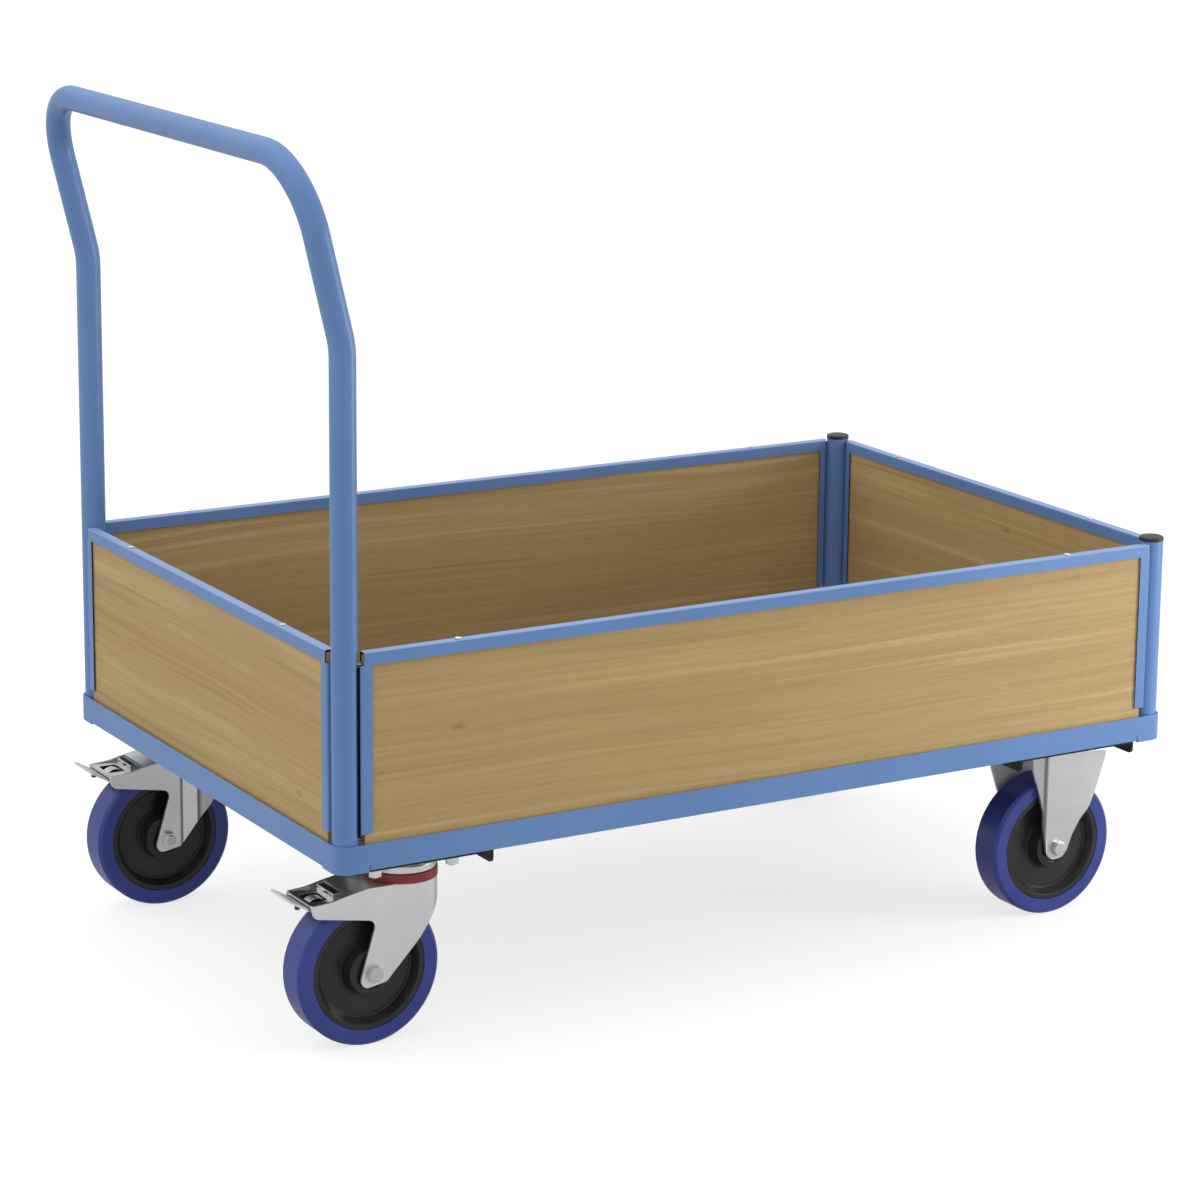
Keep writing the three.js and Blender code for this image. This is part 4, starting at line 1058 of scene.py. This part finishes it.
def fixed_fork(name, mirror, at):
    top, sheet = 194.7, 3
    side = outline([(-33, ABOVE), (-33, 188), (-32.3, 175, 60), (-27.7, 155, 60), (-24.7, 142, 30),
                    (-20.7, 122, 30), (-20.5, 106, 30), (-14.8, 72, 12), (-7, WHEEL_R - 12.5, 10),
                    (6, WHEEL_R - 12.5, 12), (13, 76, 8), (19, 92, 40), (30, 110, 40), (42, 122, 30),
                    (50, 141, 30), (63, 180, 30), (63.5, ABOVE)])
    out = -CHEEK_OUT
    strip = outline([(64.5, out), (-18.8, out, 14), (-33.3, out + 7.7), (-31.9, out + 10.34),
                     (-18.1, out + sheet, 11), (64.5, out + sheet)], step=math.radians(3))
    near = common(prism(strip, "xy", 0, top), prism(side, "xz", -ACROSS, ACROSS))
    bm = bmesh.new()
    bm.from_mesh(near.data)
    far = as_object("far_cheek", bm)
    half_turn = Matrix.Translation((2 * FORK_MIDDLE, 0, 0)) @ Matrix.Rotation(math.pi, 4, "Z")
    far.data.transform(half_turn)
    half = [(-33, out + 7.7), (-18.8, out, 14), (63.5, out)]
    other = [(2 * FORK_MIDDLE - p[0], -p[1], *p[2:]) for p in half]
    plate = prism(outline([*half, *other]), "xy", top - sheet, top)
    body = join(near, plate, far)
    body = cut(body, rod(AXLE_BORE, -ACROSS, ACROSS, "y", (0, 0, WHEEL_R)))
    soften(body, 0.7, 3, 38)
    fork = settle(body, name + "_pressed_fork", "trolley", SHADED_ZINC, [name + "_fork"], at, mirror)
    add_finishes(fork, (DARKENED_ZINC, PAINTED_HALF_DARK_ZINC, PAINTED_LIGHT_INSIDE_ZINC))
    dark_reflection, half_dark_reflection, inside = 1, 2, 3
    for face in fork.data.polygons:
        across, inward = abs(face.normal.y), (face.center.y / MM - at[1]) * face.normal.y < 0
        if abs(face.normal.z) > 0.05:
            continue
        # Inner faces take the lightened zinc: painted light.
        if inward and across > 0.8:
            face.material_index = inside
        # The bends take a painted dark reflection, half as dark at its edges.
        elif 0.93 < across < 0.99:
            face.material_index = dark_reflection
        elif 0.89 < across < 0.9985:
            face.material_index = half_dark_reflection


def fixed_castor(side, sign):
    name = side + "_fixed"
    mirror = sign > 0
    at = (FIXED_X, sign * CASTOR_Y)
    fixed_fork(name, mirror, at)
    wheel(name, name + "_wheel", 0, mirror, at)
    axle(name, "trolley", 0, mirror, at)


# ---- Studio ----

# How strongly the sky shines, as a sum of ramps: axis of the direction, its two ends, strength there.
SKY = (("X", -1.0, 0.0, 0.50, 0.22), ("Z", 0.0, 1.0, 0.0, 0.85), ("Y", -1.0, 0.0, -0.25, 0.20))
SKY_LEAST = 0.5
WHITE = (1, 1, 1, 1)


def studio():
    bm = bmesh.new()
    bmesh.ops.create_circle(bm, cap_ends=True, segments=128, radius=60)
    floor = as_object("studio_floor", bm)
    floor.location.z = -0.0005
    s = Surface("pale_floor", 0.85, specular=0.1)
    cloud = s.noise(s.place, 0.8, 2.0)
    give(s.shader.inputs["Emission Color"], WHITE)
    rays = s.node("ShaderNodeLightPath").outputs
    glow = s.math("ADD", s.span(rays["Is Camera Ray"], 0.0, 1.0, 0.15, 0.75),
                  s.math("MULTIPLY", rays["Is Glossy Ray"], 0.15))
    give(s.shader.inputs["Emission Strength"], glow)
    s.finish(s.mix(s.span(cloud, 0.3, 0.7), (0.35, 0.35, 0.35, 1.0), (0.37, 0.37, 0.37, 1.0)))
    floor.data.materials.append(s.material)
    sky()
    lamp("key", (1.3, -0.98, 0.5), (0.5, -0.33, 0.3), 0.6, 7)
    bpy.context.scene.view_settings.view_transform = "Standard"


def sky():
    """White to the camera; everything else is lit by the ramps' sum."""
    world = bpy.data.worlds.new("studio_light")
    world.use_nodes = True
    tree = world.node_tree
    direction = add_node(tree, "ShaderNodeTexCoord").outputs["Generated"]
    parts = add_node(tree, "ShaderNodeSeparateXYZ", {"Vector": direction}).outputs
    total = None
    for axis, low, high, start, stop in SKY:
        ramp = add_node(tree, "ShaderNodeMapRange", {
            "Value": parts[axis], "From Min": low, "From Max": high,
            "To Min": start, "To Max": stop}).outputs["Result"]
        total = ramp if total is None else add_node(tree, "ShaderNodeMath", {0: total, 1: ramp}).outputs[0]
    lit = add_node(tree, "ShaderNodeMath", {0: total, 1: SKY_LEAST}, operation="MAXIMUM").outputs[0]
    lighting = tree.nodes["Background"]
    give(lighting.inputs["Color"], WHITE)
    give(lighting.inputs["Strength"], lit)
    seen = add_node(tree, "ShaderNodeBackground", {"Color": WHITE})
    to_camera = add_node(tree, "ShaderNodeLightPath").outputs["Is Camera Ray"]
    shown = add_node(tree, "ShaderNodeMixShader", {
        0: to_camera, 1: lighting.outputs[0], 2: seen.outputs[0]}).outputs[0]
    give(tree.nodes["World Output"].inputs["Surface"], shown)
    bpy.context.scene.world = world


def lamp(name, place, target, size, power):
    light = bpy.data.lights.new(name, "AREA")
    light.shape = "DISK"
    light.size = size
    light.energy = power
    light.specular_factor = 0.3
    obj = bpy.data.objects.new(name, light)
    obj.location = place
    obj.rotation_euler = (Vector(target) - Vector(place)).to_track_quat("-Z", "Y").to_euler()
    obj.visible_camera = False
    bpy.context.scene.collection.objects.link(obj)


def camera():
    """A long lens beyond the handle end's near corner, looking down across the trolley."""
    lens = bpy.data.cameras.new("camera")
    lens.sensor_width = 36
    lens.lens = 114.43
    lens.shift_y = -0.06
    lens.clip_end = 200
    obj = bpy.data.objects.new("camera", lens)
    azimuth, pitch, roll = 0.53079, 0.22936, 0.00967
    turn = (Matrix.Rotation(-azimuth, 4, "Z") @ Matrix.Rotation(math.pi / 2 - pitch, 4, "X")
            @ Matrix.Rotation(roll, 4, "Z"))
    obj.matrix_world = Matrix.Translation((-2.0921, -3.5549, 1.4008)) @ turn
    bpy.context.scene.collection.objects.link(obj)
    bpy.context.scene.camera = obj


# ---- Making it ----

camera()
studio()
platform_frame()
beams()
deck()
push_handle()
corner_posts()
wall("near_wall", POST_X, LONG_SCREW_X, (0, -POST_Y), 0, (True, False),
     beech("beech_near", 0, (0.3, 0.0, 0.1)))
wall("far_wall", POST_X, LONG_SCREW_X, (0, POST_Y), 2, (False, True),
     beech("beech_far", 0, (3.7, 0.0, 1.9)))
wall("handle_end_wall", POST_Y, END_SCREW_X, (-POST_X, 0), -1, (True, True),
     beech("beech_handle_end", QUARTER, (7.1, 0.0, 4.2)))
wall("open_end_wall", POST_Y, END_SCREW_X, (POST_X, 0), 1, (False, False),
     beech("beech_open_end", QUARTER, (9.4, 0.0, 6.3)))
for side, sign in (("near", -1), ("far", 1)):
    swivel_castor(side, sign)
    fixed_castor(side, sign)
